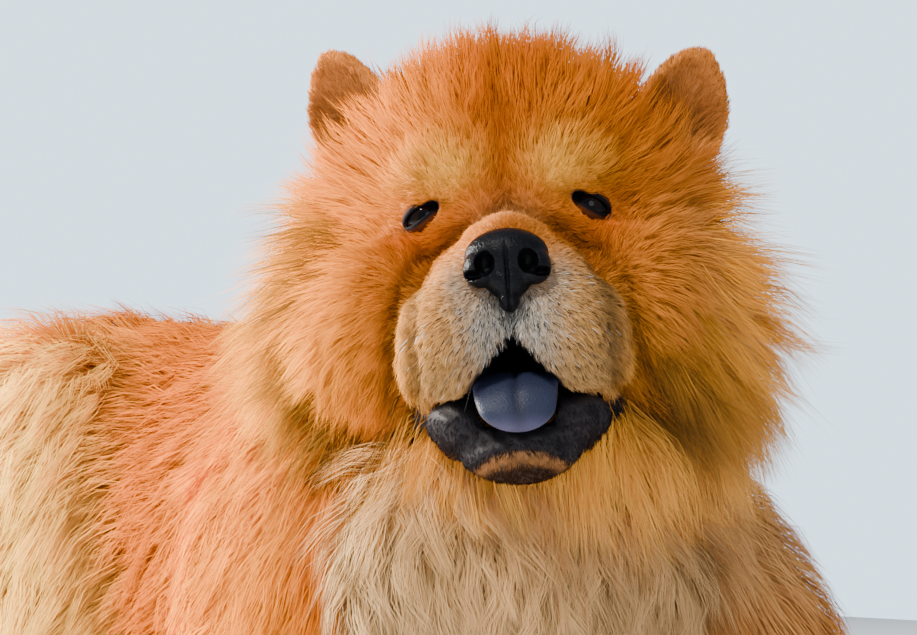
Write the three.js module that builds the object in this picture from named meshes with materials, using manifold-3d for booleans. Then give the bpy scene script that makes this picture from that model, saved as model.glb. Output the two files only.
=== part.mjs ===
// A chow chow at life size, lying on its belly with its forelegs stretched out, its hind legs folded
// beside it and its head turned to its right, with the mouth open and the tongue over the lower lip.
// Millimetres, +Z up, the floor at Z = 0. The origin is on the flat underside of the brisket, the body
// runs along Y with the forelegs towards -Y, and +X is the dog's left.
import * as THREE from "three";
import { mergeVertices } from "three/addons/utils/BufferGeometryUtils.js";
import Module from "manifold-3d";

const wasm = await Module();
wasm.setup();

// Driving dimensions
const GAP = 0.3; // left between pieces that touch
const BACK_TOP = 326; // top of the coat at the middle of the back
const BODY_HALF_WIDTH = 142; // of the coat at the ribs
const EYE_SPREAD = 43; // from the middle of the face to the middle of an eye
const NOSE_HALF_WIDTH = 21.5;
const MUZZLE_HALF_WIDTH = 61;
const RUFF_HALF_WIDTH = 160; // of the mane at its widest, out to the tips
const LOCK_SIDES = 4;
const LOCK_ROWS = 3;

// Where the fore, hind and head frames stand, and which way each one faces. A heading is the angle from
// -Y towards the dog's right, -X.
const SHOULDERS = frameOf([0, -150, 0], 16);
const HIPS = frameOf([-8, 215, 0], -14);
const HEAD = headFrame([-145, -398, 329], { heading: 40.5, pitch: 5, roll: 3.8 });

const random = seeded(7);

// Helpers: frames and random numbers

function seeded(seed) {
  let state = seed;
  return () => {
    state = (state * 1664525 + 1013904223) % 4294967296;
    return state / 4294967296;
  };
}

function spread(size) {
  return (random() * 2 - 1) * size;
}

function frameOf(origin, heading) {
  const turn = THREE.MathUtils.degToRad(heading);
  const forward = new THREE.Vector3(-Math.sin(turn), -Math.cos(turn), 0);
  const left = new THREE.Vector3(0, 0, 1).cross(forward);
  return { origin: new THREE.Vector3(...origin), forward, left };
}

// A point of a body frame: so far forward, so far out to the given side, at a height.
function at(frame, side, ahead, out, height) {
  return frame.origin
    .clone()
    .addScaledVector(frame.forward, ahead)
    .addScaledVector(frame.left, side * out)
    .setZ(height);
}

// The head's own frame has X to the dog's left, Y out of the face and Z to the crown, and starts at the
// middle of the nose.
function headFrame(origin, { heading, pitch, roll }) {
  const turn = THREE.MathUtils.degToRad(heading);
  const level = new THREE.Vector3(-Math.sin(turn), -Math.cos(turn), 0);
  const tip = THREE.MathUtils.degToRad(pitch);
  const face = level.multiplyScalar(Math.cos(tip)).setZ(Math.sin(tip));
  const flatLeft = new THREE.Vector3(0, 0, 1).cross(face).normalize();
  const flatCrown = face.clone().cross(flatLeft);
  const lean = THREE.MathUtils.degToRad(roll);
  const left = flatLeft.clone().multiplyScalar(Math.cos(lean)).addScaledVector(flatCrown, Math.sin(lean));
  const crown = face.clone().cross(left);
  return { origin: new THREE.Vector3(...origin), left, face, crown };
}

function onHead(x, y, z) {
  return HEAD.origin
    .clone()
    .addScaledVector(HEAD.left, x)
    .addScaledVector(HEAD.face, y)
    .addScaledVector(HEAD.crown, z);
}

function headDirection(x, y, z) {
  return onHead(x, y, z).sub(HEAD.origin).normalize();
}

// Helpers: solids

function solid(geometry) {
  const bare = geometry.index ? geometry.toNonIndexed() : geometry.clone();
  bare.deleteAttribute("normal");
  bare.deleteAttribute("uv");
  const merged = mergeVertices(bare, 1e-3);
  const vertProperties = new Float32Array(merged.attributes.position.array);
  const kept = [];
  const index = merged.index.array;
  for (let i = 0; i < index.length; i += 3) {
    const [a, b, c] = [index[i], index[i + 1], index[i + 2]];
    if (a !== b && b !== c && a !== c) kept.push(a, b, c);
  }
  const build = (corners) =>
    new wasm.Manifold(new wasm.Mesh({ numProp: 3, vertProperties, triVerts: new Uint32Array(corners) }));
  const made = build(kept);
  if (made.volume() > 0) return made;
  const turned = [];
  for (let i = 0; i < kept.length; i += 3) turned.push(kept[i], kept[i + 2], kept[i + 1]);
  return build(turned);
}

function union(pieces) {
  return wasm.Manifold.union(pieces);
}

function largest(body) {
  return body.decompose().reduce((a, b) => (b.volume() > a.volume() ? b : a));
}

// A ball stretched to three half sizes along three axes, optionally grown all over.
function ball(center, sizes, axes, grow = 0, sides = 16, rows = 10) {
  const geometry = new THREE.SphereGeometry(1, sides, rows);
  const [x, y, z] = axes;
  const scaled = sizes.map((size) => size + grow);
  const matrix = new THREE.Matrix4().makeBasis(
    x.clone().multiplyScalar(scaled[0]),
    y.clone().multiplyScalar(scaled[1]),
    z.clone().multiplyScalar(scaled[2]),
  );
  return solid(geometry.applyMatrix4(matrix.setPosition(center)));
}

function headBall(center, sizes, grow = 0, sides = 16, rows = 10) {
  return ball(onHead(...center), sizes, [HEAD.left, HEAD.face, HEAD.crown], grow, sides, rows);
}

// A body of rounded ends along a curve through its stations. Each station has its place and its half
// sizes: across, and towards and away from the reference direction.
function tubeShape(stations, reference, grow = 0) {
  const line = new THREE.CatmullRomCurve3(stations.map((s) => s.place), false, "catmullrom", 0.5);
  const sizes = new THREE.CatmullRomCurve3(
    stations.map((s) => new THREE.Vector3(s.across, s.toward, s.away ?? s.toward)),
    false,
    "catmullrom",
    0.5,
  );
  return (t, angle) => {
    const along = line.getTangent(t);
    const side = along.clone().cross(reference).normalize();
    const up = side.clone().cross(along).normalize();
    const size = sizes.getPoint(t);
    const rise = Math.sin(angle);
    const half = (rise > 0 ? size.y : size.z) + grow;
    return {
      middle: line.getPoint(t),
      out: side.clone().multiplyScalar(Math.cos(angle) * (size.x + grow)).addScaledVector(up, rise * half),
      along,
    };
  };
}

function tube(stations, reference, { sides = 18, rows = 14, dome = 0.1, grow = 0 } = {}) {
  const shape = tubeShape(stations, reference, grow);
  const domeRows = 3;
  const geometry = new THREE.SphereGeometry(1, sides, rows);
  const position = geometry.attributes.position;
  for (let row = 0; row <= rows; row++) {
    const fromEnd = Math.min(row, rows - row);
    const bend = (Math.min(fromEnd, domeRows) / domeRows) * (Math.PI / 2);
    const inner = dome + ((1 - 2 * dome) * (fromEnd - domeRows)) / (rows - 2 * domeRows);
    const share = fromEnd <= domeRows ? dome * (1 - Math.cos(bend)) : inner;
    const t = row * 2 <= rows ? share : 1 - share;
    for (let step = 0; step <= sides; step++) {
      const { middle, out, along } = shape(t, ((step % sides) / sides) * Math.PI * 2);
      const push = Math.cos(bend) * (row * 2 < rows ? -grow : grow);
      const point = middle.addScaledVector(out, Math.sin(bend)).addScaledVector(along, push);
      position.setXYZ(row * (sides + 1) + step, point.x, point.y, point.z);
    }
  }
  return solid(geometry);
}

// A flat, tapered lock of hair. It leaves its root along the lie and the outward direction and bends.
function lock({ root, lie, outward, length, width, thick, lift, bend, sink }, grow = 0) {
  const start = lie.clone().addScaledVector(outward, lift).normalize();
  const finish = lie.clone().addScaledVector(outward, lift - bend).normalize();
  const base = root.clone().addScaledVector(outward, -sink);
  const knee = base.clone().addScaledVector(start, length * 0.5);
  const tip = knee.clone().addScaledVector(finish, length * 0.5);
  const path = new THREE.QuadraticBezierCurve3(base, knee, tip);
  const geometry = new THREE.ConeGeometry(1, 1, LOCK_SIDES, LOCK_ROWS);
  const position = geometry.attributes.position;
  const across = start.clone().cross(outward).normalize();
  for (let i = 0; i < position.count; i++) {
    const t = THREE.MathUtils.clamp(position.getY(i) + 0.5, 0, 1);
    const full = Math.max(1 - t, 1e-6);
    const swell = Math.sqrt(Math.max(1 - t * t, 0)) * (0.78 + 0.3 * Math.sin(Math.PI * t));
    const flat = across.clone().cross(path.getTangent(t)).normalize();
    const round = { x: position.getX(i) / full, z: position.getZ(i) / full };
    const point = path
      .getPoint(t)
      .addScaledVector(across, round.x * ((swell * width) / 2 + grow * 2))
      .addScaledVector(flat, round.z * ((swell * thick) / 2 + grow * 2));
    if (t < 0.001) point.addScaledVector(start, -grow);
    if (t > 0.999) point.copy(tip).addScaledVector(finish, grow * 3);
    position.setXYZ(i, point.x, point.y, point.z);
  }
  return solid(geometry);
}

// The body: trunk, legs and feet

const UP = new THREE.Vector3(0, 0, 1);
const DOWN = new THREE.Vector3(0, 0, -1);

function station(place, across, toward, away) {
  return { place: place.isVector3 ? place : new THREE.Vector3(...place), across, toward, away };
}

function onFloor(body) {
  return body.trimByPlane([0, 0, 1], 0);
}

function trunk(grow) {
  const heart = BACK_TOP - 158; // height of the line that the ribs are measured from
  const stations = [
    station([-36, 304, heart + 20], 62, 76, 90),
    station([-26, 268, heart + 12], 108, 126, 160),
    station([-10, 210, heart + 4], BODY_HALF_WIDTH - 8, 160, 190),
    station([8, 120, heart], BODY_HALF_WIDTH - 8, 159, 190),
    station([20, 30, heart - 2], BODY_HALF_WIDTH - 10, 156, 190),
    station([14, -60, heart], BODY_HALF_WIDTH, 158, 190),
    station([0, -140, heart + 6], BODY_HALF_WIDTH + 4, 160, 190),
    station([-20, -205, heart + 10], 126, 132, 160),
    station([-32, -246, heart + 8], 74, 84, 96),
  ];
  return onFloor(tube(stations, UP, { sides: 20, rows: 16, dome: 0.05, grow }));
}

// The haunch stands as a rounded column from the croup to the floor, with its front edge almost upright.
function haunchLine(side) {
  const rise = [
    { height: 302, ahead: 6, out: 66, long: 50, thick: 34 },
    { height: 262, ahead: 24, out: 84, long: 92, thick: 56 },
    { height: 186, ahead: 38, out: 94, long: 114, thick: 68 },
    { height: 100, ahead: 52, out: 98, long: 114, thick: 66 },
    { height: 28, ahead: 58, out: 100, long: 90, thick: 52 },
  ];
  return rise.map((r) => station(at(HIPS, side, r.ahead, r.out, r.height), r.thick, r.long));
}

// The breeches hang from the back of the haunch.
function breechLocks(side) {
  const rows = [
    { t: 0.3, count: 10 },
    { t: 0.52, count: 10 },
  ];
  const options = { thick: 12, sink: 10 };
  return coreRows(haunchLine(side), HIPS.forward, rows, options, ({ outward }) => {
    if (outward.dot(HIPS.forward) > -0.72) return null;
    const lie = DOWN.clone().addScaledVector(HIPS.left, side * 0.25 + spread(0.2)).projectOnPlane(outward);
    return { lie: lie.normalize(), length: 84 + spread(9), width: 56 + spread(6), lift: 0.5, bend: 0.7 };
  });
}

function haunch(side, grow) {
  const locks = (side > 0 ? BREECHES.left : BREECHES.right).map((l) => lock(l, grow));
  const body = tube(haunchLine(side), HIPS.forward, { sides: 14, rows: 12, dome: 0.1, grow });
  return onFloor(union([body, ...locks]));
}

// The hock and the foot behind the toes lie flat, along the outside of the haunch.
function hock(side, grow) {
  const stations = [
    station(at(HIPS, side, -70, 118, 44), 30, 34, 48),
    station(at(HIPS, side, -14, 140, 40), 32, 32, 46),
    station(at(HIPS, side, 66, 156, 32), 33, 29, 40),
  ];
  return onFloor(tube(stations, UP, { sides: 10, rows: 9, grow }));
}

// The elbows rest on the floor. The left one stands well out from the chest.
const ARMS = {
  right: {
    shoulder: { ahead: 4, out: 76, height: 262, thick: 44, long: 74 },
    middle: { ahead: 46, out: 104, height: 200, thick: 58, long: 94 },
    arm: { ahead: 56, out: 118, height: 130, thick: 60, long: 94 },
    elbow: { ahead: 44, out: 130, height: 66, thick: 54, long: 74 },
    heel: { ahead: 40, out: 132, height: 26, thick: 42, long: 56 },
    forearm: [
      [70, 132],
      [160, 122],
      [240, 112],
    ],
  },
  left: {
    shoulder: { ahead: 8, out: 78, height: 256, thick: 44, long: 64 },
    middle: { ahead: 48, out: 120, height: 204, thick: 56, long: 76 },
    arm: { ahead: 72, out: 160, height: 138, thick: 60, long: 74 },
    elbow: { ahead: 80, out: 182, height: 82, thick: 56, long: 62 },
    heel: { ahead: 76, out: 186, height: 34, thick: 44, long: 48 },
    forearm: [
      [102, 182],
      [188, 166],
      [264, 148],
    ],
  },
};

function armOf(side) {
  return side > 0 ? ARMS.left : ARMS.right;
}

function upperArm(side, grow) {
  const { shoulder, middle, arm, elbow, heel } = armOf(side);
  const stations = [shoulder, middle, arm, elbow, heel].map(({ ahead, out, height, thick, long }) =>
    station(at(SHOULDERS, side, ahead, out, height), thick, long),
  );
  return onFloor(tube(stations, SHOULDERS.forward, { sides: 12, rows: 11, grow }));
}

function forearm(side, grow) {
  const sizes = [
    { height: 46, across: 42, up: 42 },
    { height: 42, across: 39, up: 38 },
    { height: 38, across: 34, up: 32 },
  ];
  const stations = armOf(side).forearm.map(([ahead, out], i) =>
    station(at(SHOULDERS, side, ahead, out, sizes[i].height), sizes[i].across, sizes[i].up, 56),
  );
  return onFloor(tube(stations, UP, { sides: 10, rows: 9, grow }));
}

// A round, close foot with four toes and their blunt claws. The way is the direction that it points in.
function foot(heel, way, size, grow) {
  const side = UP.clone().cross(way).normalize();
  const axes = [side, way, UP];
  const place = (across, ahead, height) =>
    heel.clone().addScaledVector(side, across).addScaledVector(way, ahead).setZ(height);
  const pad = ball(place(0, size * 0.3, size * 0.5), [size * 0.84, size * 0.9, size * 0.66], axes, grow, 9, 6);
  const toes = [-1.5, -0.5, 0.5, 1.5].map((step) => {
    const inner = Math.abs(step) < 1;
    const ahead = size * (inner ? 0.98 : 0.74);
    const toe = ball(
      place(step * size * 0.44, ahead, size * 0.36),
      [size * 0.3, size * 0.46, size * 0.4],
      axes,
      grow,
      6,
      4,
    );
    const claw = new THREE.ConeGeometry(4 + grow, 15 + 2 * grow, 5, 1);
    const pointing = new THREE.Quaternion().setFromUnitVectors(
      new THREE.Vector3(0, 1, 0),
      way.clone().addScaledVector(UP, -0.55).normalize(),
    );
    const root = place(step * size * 0.44, ahead + size * 0.46, size * 0.26);
    claw.applyQuaternion(pointing).translate(root.x, root.y, root.z);
    return union([toe, solid(claw)]);
  });
  return onFloor(union([pad, ...toes]));
}

function forePaw(side, grow) {
  const [ahead, out] = armOf(side).forearm[2];
  return foot(at(SHOULDERS, side, ahead + 18, out - 2, 0), SHOULDERS.forward, 43, grow);
}

function hindPaw(side, grow) {
  return foot(at(HIPS, side, 88, 158, 0), HIPS.forward, 40, grow);
}

// The head: one skin wrapped round soft-edged masses, seen from a point inside it

const HEART = [0, -88, 6];
const MASSES = [
  { at: [0, -140, 44], half: [92, 78, 84] }, // skull
  { at: [0, -108, 76], half: [66, 46, 48] }, // forehead
  ...pair([31, -78, 62], [27, 18, 17]), // brows
  ...pair([68, -110, -10], [42, 48, 52]), // cheeks
  { at: [0, -54, -2], half: [46, 46, 28] }, // muzzle
  { at: [0, -48, 17], half: [23, 42, 15] }, // bridge of the nose
  ...pair([27, -27, -33], [30, 28, 32]), // pads of the upper lip
  ...pair([MUZZLE_HALF_WIDTH - 20, -50, -36], [22, 36, 30]), // flews
];
const SOFT = 11; // how widely the masses run into one another

function pair([x, y, z], half) {
  return [-1, 1].map((side) => ({ at: [side * x, y, z], half }));
}

function toMass([x, y, z], { at: [cx, cy, cz], half: [a, b, c] }) {
  const [px, py, pz] = [(x - cx) / a, (y - cy) / b, (z - cz) / c];
  const reach = Math.hypot(px, py, pz);
  const slope = Math.hypot(px / a, py / b, pz / c);
  return slope === 0 ? -Math.min(a, b, c) : (reach * (reach - 1)) / slope;
}

function toFace(point) {
  return MASSES.reduce((near, mass) => {
    const next = toMass(point, mass);
    const blend = Math.max(SOFT - Math.abs(near - next), 0) / SOFT;
    return Math.min(near, next) - (blend * blend * SOFT) / 4;
  }, 1e6);
}

function reachOfFace([x, y, z]) {
  const pointAt = (t) => [HEART[0] + x * t, HEART[1] + y * t, HEART[2] + z * t];
  let far = 240;
  while (far > 4 && toFace(pointAt(far)) > 0) far -= 4;
  let near = far;
  far += 4;
  for (let i = 0; i < 14; i++) {
    const middle = (near + far) / 2;
    if (toFace(pointAt(middle)) > 0) far = middle;
    else near = middle;
  }
  return near;
}

function faceSkin(grow) {
  const geometry = new THREE.SphereGeometry(1, 30, 22);
  const position = geometry.attributes.position;
  for (let i = 0; i < position.count; i++) {
    const way = [position.getX(i), position.getY(i), position.getZ(i)];
    const reach = reachOfFace(way) + grow;
    const point = onHead(...HEART.map((h, k) => h + way[k] * reach));
    position.setXYZ(i, point.x, point.y, point.z);
  }
  return solid(geometry);
}

const EYES = { height: 38, radius: 11, sunk: 8.5, slant: 0.4 };

function depthOfFace(x, z) {
  let y = 20;
  while (y > -200 && toFace([x, y, z]) > 0) y -= 0.5;
  return y;
}

function eyePlace(side, sunk) {
  return onHead(side * EYE_SPREAD, depthOfFace(EYE_SPREAD, EYES.height) - sunk, EYES.height);
}

// Across, out of and up the opening of an eye, which is low at its outer end.
function eyeAxes(side) {
  const out = headDirection(side * 0.34, 1, 0.05);
  const across = headDirection(side * Math.cos(EYES.slant), 0, -Math.sin(EYES.slant));
  const level = across.projectOnPlane(out).normalize();
  return [level, out, out.clone().cross(level).multiplyScalar(side)];
}

function eyeBall(side, grow) {
  const { radius, sunk } = EYES;
  return ball(eyePlace(side, sunk), [radius, radius, radius], eyeAxes(side), grow, 10, 7);
}

function socket(side) {
  return ball(eyePlace(side, 0), [16, 12, 6.5], eyeAxes(side), 0, 10, 6);
}

// The lids are one rim round the narrow opening.
function lids(side, grow) {
  const rim = new THREE.TorusGeometry(16, 3 + grow, 4, 12);
  const [level, out, rise] = eyeAxes(side);
  const stand = new THREE.Matrix4().makeBasis(level, rise.multiplyScalar(0.52), out.multiplyScalar(1.3));
  return solid(rim.applyMatrix4(stand.setPosition(eyePlace(side, 2))));
}

// The upper lip parts under the nose and hangs to each side, so the gape is a wedge with a hollow behind it.
function gape() {
  const wedge = new THREE.Shape();
  wedge.moveTo(0, -35);
  wedge.lineTo(-38, -78);
  wedge.lineTo(38, -78);
  wedge.closePath();
  const depth = 80;
  const slot = new THREE.ExtrudeGeometry(wedge, { depth, bevelEnabled: false });
  // The shape is drawn across and up the face, and its depth runs back into the mouth.
  const stand = new THREE.Matrix4().makeBasis(HEAD.left, HEAD.crown, HEAD.face.clone().negate());
  slot.applyMatrix4(stand.setPosition(onHead(0, 12, 0)));
  const hollow = headBall([0, -62, -70], [44, 40, 25]);
  return union([solid(slot), hollow]);
}

function crownLocks() {
  const locks = [];
  const rows = [
    { tilt: 0.34, count: 4, length: 58 },
    { tilt: 0.82, count: 5, length: 66 },
  ];
  for (const { tilt, count, length } of rows)
    for (let i = 0; i < count; i++) {
      const lean = ((i + 0.5) / count - 0.5) * 2.1 + spread(0.08);
      const way = [Math.sin(lean), Math.cos(lean) * Math.cos(tilt + 1.1), Math.cos(lean) * Math.sin(tilt + 1.1)];
      const size = Math.hypot(...way);
      const unit = way.map((w) => w / size);
      const reach = reachOfFace(unit);
      const root = onHead(...HEART.map((h, k) => h + unit[k] * reach));
      const outward = headDirection(...unit);
      const lie = headDirection(unit[0] * 0.7, -1, 0.35).projectOnPlane(outward).normalize();
      locks.push({
        root,
        lie,
        outward,
        length: length + spread(7),
        width: 54 + spread(5),
        thick: 13,
        lift: 0.95 + spread(0.12),
        bend: 0.75,
        sink: 9,
      });
    }
  return locks;
}

const CROWN = crownLocks();

function head(grow) {
  const locks = CROWN.map((l) => lock(l, grow));
  const skin = faceSkin(grow).subtract(union([socket(-1), socket(1)]));
  return union([skin, lids(-1, grow), lids(1, grow), ...locks]).subtract(gape());
}

function nose(grow) {
  const body = union([
    headBall([0, -9, 3], [NOSE_HALF_WIDTH, 14, 15.5], grow, 12, 8),
    headBall([0, -7, -13], [10.5, 11, 10], grow, 8, 6),
  ]);
  if (grow) return body;
  const nostrils = [-1, 1].map((side) => headBall([side * 10.5, 4, -1.5], [5.2, 9, 6.2], 0, 7, 5));
  return body.subtract(union(nostrils));
}

function tongue(grow) {
  const stations = [
    station(onHead(0, -84, -60), 17, 5),
    station(onHead(0, -54, -58), 21, 6),
    station(onHead(0, -30, -57), 21.5, 6.5),
    station(onHead(0, -12, -68), 20, 6),
    station(onHead(1, -6, -82), 15, 5),
  ];
  return tube(stations, HEAD.crown, { sides: 10, rows: 10, grow });
}

function jaw(grow) {
  const body = union([
    headBall([0, -52, -92], [40, 35, 17], grow, 12, 6),
    headBall([0, -96, -78], [56, 44, 30], grow, 10, 6),
    headBall([-31, -56, -80], [22, 32, 15], grow, 7, 5),
    headBall([31, -56, -80], [22, 32, 15], grow, 7, 5),
  ]);
  return body.subtract(headBall([0, -60, -72], [29, 36, 14], 0, 8, 6));
}

const EARS = {
  left: { middle: [105, -126, 96], half: [25, 11, 37], lean: 0.42, turn: 0.3 },
  right: { middle: [-84, -126, 108], half: [24, 11, 36], lean: -0.3, turn: -0.35 },
};

function ear(side, grow) {
  const { middle, half, lean, turn } = side > 0 ? EARS.left : EARS.right;
  const face = headDirection(Math.sin(turn), Math.cos(turn), -0.12);
  const rise = headDirection(Math.sin(lean), 0.1, Math.cos(lean)).projectOnPlane(face).normalize();
  const across = rise.clone().cross(face).normalize();
  const place = onHead(...middle);
  const shell = ball(place, half, [across, face, rise], grow, 12, 8);
  if (grow) return shell;
  const cup = place.clone().addScaledVector(face, 10).addScaledVector(rise, -3);
  return shell.subtract(ball(cup, [half[0] - 7, 10, half[2] - 8], [across, face, rise], 0, 10, 7));
}

// The mane, the bib and the tail: a core that the locks grow from, in rows along it

function coreRows(stations, reference, rows, options, build) {
  const shape = tubeShape(stations, reference);
  const made = [];
  rows.forEach(({ t, count }, row) => {
    for (let i = 0; i < count; i++) {
      const angle = ((i + (row % 2) * 0.5 + spread(0.16)) / count) * Math.PI * 2;
      const { middle, out, along } = shape(t, angle);
      const outward = out.clone().normalize();
      const wanted = build({ t, angle, outward, along, root: middle.clone().add(out) });
      if (wanted) made.push({ ...options, root: middle.add(out), outward, ...wanted });
    }
  });
  return made;
}

const MANE_LINE = [
  station([4, -158, 222], 104, 92, 100),
  station([-8, -208, 250], 116, 104, 112),
  station([-26, -252, 282], 122, 114, 118),
  station([-44, -286, 304], 120, 110, 116),
  station([-62, -316, 318], 104, 92, 100),
];

// The mane stands out all round the face and lies back and down behind it.
function maneLocks() {
  const rows = [
    { t: 0.27, count: 7 },
    { t: 0.48, count: 9 },
    { t: 0.67, count: 10 },
    { t: 0.83, count: 10 },
    { t: 0.95, count: 7 },
  ];
  const options = { thick: 15, sink: 15 };
  return coreRows(MANE_LINE, UP, rows, options, ({ t, outward, along }) => {
    if (t > 0.9 && outward.z > 0.45) return null;
    const back = along.clone().multiplyScalar(-0.9 + t * 0.7);
    const lie = back.addScaledVector(DOWN, 0.5).projectOnPlane(outward).normalize();
    return {
      lie,
      length: RUFF_HALF_WIDTH * (0.5 + 0.06 * t) + spread(8),
      width: 70 + spread(7),
      lift: 0.6 + t * 0.55 + spread(0.08),
      bend: 0.8,
    };
  });
}

const BIB_LINE = [
  station([-50, -296, 232], 78, 34, 44),
  station([-58, -304, 196], 100, 48, 50),
  station([-52, -300, 158], 104, 54, 50),
  station([-42, -282, 106], 88, 52, 46),
  station([-38, -266, 60], 62, 42, 36),
];

function bibLocks() {
  const rows = [
    { t: 0.18, count: 7 },
    { t: 0.44, count: 8 },
    { t: 0.7, count: 6 },
  ];
  const options = { thick: 13, sink: 12 };
  return coreRows(BIB_LINE, SHOULDERS.forward, rows, options, ({ outward }) => {
    const facing = outward.dot(SHOULDERS.forward);
    if (facing < -0.1) return null;
    const lie = DOWN.clone().addScaledVector(SHOULDERS.left, spread(0.3)).projectOnPlane(outward).normalize();
    return {
      lie,
      length: 84 + spread(10),
      width: 62 + spread(6),
      lift: 0.5 + spread(0.14),
      bend: 0.75,
    };
  });
}

// The tail leaves the croup high, passes round behind it and lies along the left hip.
const TAIL_LINE = [
  station([-34, 296, 268], 34, 32),
  station([-8, 330, 280], 38, 38),
  station([62, 338, 276], 40, 40),
  station([132, 300, 262], 40, 40),
  station([176, 236, 246], 38, 38),
  station([190, 168, 228], 24, 26),
];

function tailLocks() {
  const rows = [
    { t: 0.24, count: 4 },
    { t: 0.46, count: 4 },
    { t: 0.66, count: 5 },
    { t: 0.82, count: 4 },
    { t: 0.95, count: 3 },
  ];
  const options = { thick: 11, sink: 9 };
  return coreRows(TAIL_LINE, UP, rows, options, ({ t, outward, along }) => ({
    lie: along.clone().addScaledVector(DOWN, 0.35).projectOnPlane(outward).normalize(),
    length: 80 + spread(8) + (t > 0.9 ? 8 : 0),
    width: 58 + spread(5),
    lift: 0.42 + spread(0.1),
    bend: 0.4,
  }));
}

const MANE = maneLocks();
const BIB = bibLocks();
const TAIL = tailLocks();
const BREECHES = { left: breechLocks(1), right: breechLocks(-1) };

function withLocks(line, reference, locks, shape) {
  return (grow) => union([tube(line, reference, { ...shape, grow }), ...locks.map((l) => lock(l, grow))]);
}

const mane = withLocks(MANE_LINE, UP, MANE, { sides: 16, rows: 11, dome: 0.12 });
const bib = withLocks(BIB_LINE, SHOULDERS.forward, BIB, { sides: 12, rows: 10, dome: 0.2 });
const tail = withLocks(TAIL_LINE, UP, TAIL, { sides: 8, rows: 12, dome: 0.08 });

// The parts, in the order in which each is cut clear of the ones that it meets

const SIDES = { right: -1, left: 1 };
const COLOURS = {
  coat: 0xd98a3d,
  mane: 0xd9a566,
  bib: 0xbfa283,
  dark: 0x14141a,
  eye: 0x1c0f08,
  tongue: 0x3d4058,
};
const FINISH = {
  coat: { color: COLOURS.coat, roughness: 0.9, metalness: 0 },
  mane: { color: COLOURS.mane, roughness: 0.9, metalness: 0 },
  bib: { color: COLOURS.bib, roughness: 0.9, metalness: 0 },
  leather: { color: COLOURS.dark, roughness: 0.35, metalness: 0 },
  eye: { color: COLOURS.eye, roughness: 0.08, metalness: 0 },
  tongue: { color: COLOURS.tongue, roughness: 0.3, metalness: 0 },
};

const nodes = new Map();
const shapes = new Map();

function add(name, finish, shape, meets = []) {
  shapes.set(name, shape);
  const clear = meets.map((other) => shapes.get(other)(GAP));
  let body = shape(0);
  if (clear.length) body = body.subtract(union(clear));
  nodes.set(name, { body: largest(body), finish });
}

add("torso", "coat", trunk);
for (const [name, side] of Object.entries(SIDES)) {
  add(`thigh_${name}`, "coat", (grow) => haunch(side, grow), ["torso"]);
  add(`hind_paw_${name}`, "coat", (grow) => hindPaw(side, grow), ["torso", `thigh_${name}`]);
  add(`hind_leg_${name}`, "coat", (grow) => hock(side, grow), ["torso", `thigh_${name}`, `hind_paw_${name}`]);
  add(`upper_arm_${name}`, "coat", (grow) => upperArm(side, grow), ["torso", `thigh_${name}`]);
  add(`fore_paw_${name}`, "coat", (grow) => forePaw(side, grow), []);
  add(`forearm_${name}`, "coat", (grow) => forearm(side, grow), [
    "torso",
    `upper_arm_${name}`,
    `fore_paw_${name}`,
  ]);
}
add("nose", "leather", nose);
add("tongue", "tongue", tongue);
for (const [name, side] of Object.entries(SIDES)) add(`eye_${name}`, "eye", (grow) => eyeBall(side, grow));
add("head", "mane", head, ["nose", "tongue", "eye_right", "eye_left"]);
add("jaw", "leather", jaw, ["head", "tongue"]);
for (const [name, side] of Object.entries(SIDES)) add(`ear_${name}`, "mane", (grow) => ear(side, grow), ["head"]);
add("neck", "mane", mane, ["torso", "upper_arm_right", "upper_arm_left", "head", "jaw", "ear_right", "ear_left"]);
add("chest", "bib", bib, [
  "torso",
  "upper_arm_right",
  "upper_arm_left",
  "forearm_right",
  "forearm_left",
  "head",
  "jaw",
  "neck",
]);
add("tail", "mane", tail, ["torso", "thigh_left"]);

// The scene

function toGeometry(body) {
  const mesh = body.getMesh();
  const position = new Float32Array(mesh.numVert * 3);
  for (let i = 0; i < mesh.numVert; i++)
    position.set(mesh.vertProperties.subarray(i * mesh.numProp, i * mesh.numProp + 3), i * 3);
  return new THREE.BufferGeometry()
    .setAttribute("position", new THREE.BufferAttribute(position, 3))
    .setIndex(new THREE.BufferAttribute(mesh.triVerts, 1));
}

const dog = new THREE.Group();
for (const [name, { body, finish }] of nodes) {
  const mesh = new THREE.Mesh(toGeometry(body), new THREE.MeshStandardMaterial(FINISH[finish]));
  mesh.name = name;
  dog.add(mesh);
}

export default dog;
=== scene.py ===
"""A life-size chow chow lying on its belly: skin, coat, face, camera and soft studio light.

Sizes are in millimetres in the same frame as the solids, and turn into metres where a mesh is made.
"""

from __future__ import annotations

import logging
import math
import sys
from dataclasses import dataclass, field
from enum import Enum
from typing import Callable, Sequence

import bpy
import numpy as np
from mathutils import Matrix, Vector
from mathutils.kdtree import KDTree

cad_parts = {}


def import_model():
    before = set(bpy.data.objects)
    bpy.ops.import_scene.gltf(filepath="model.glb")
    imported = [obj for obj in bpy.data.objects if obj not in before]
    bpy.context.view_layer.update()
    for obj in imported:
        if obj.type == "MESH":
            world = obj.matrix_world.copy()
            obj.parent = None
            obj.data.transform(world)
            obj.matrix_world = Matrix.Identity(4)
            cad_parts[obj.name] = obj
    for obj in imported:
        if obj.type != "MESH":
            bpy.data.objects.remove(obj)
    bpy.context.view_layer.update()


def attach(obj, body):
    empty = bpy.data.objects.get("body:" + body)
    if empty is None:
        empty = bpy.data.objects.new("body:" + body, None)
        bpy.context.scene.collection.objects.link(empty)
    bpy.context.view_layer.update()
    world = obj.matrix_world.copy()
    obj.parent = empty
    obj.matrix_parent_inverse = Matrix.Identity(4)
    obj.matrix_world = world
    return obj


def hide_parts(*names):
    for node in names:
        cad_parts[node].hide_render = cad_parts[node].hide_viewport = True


LOG = logging.getLogger("chow")
MM = 0.001
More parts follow.
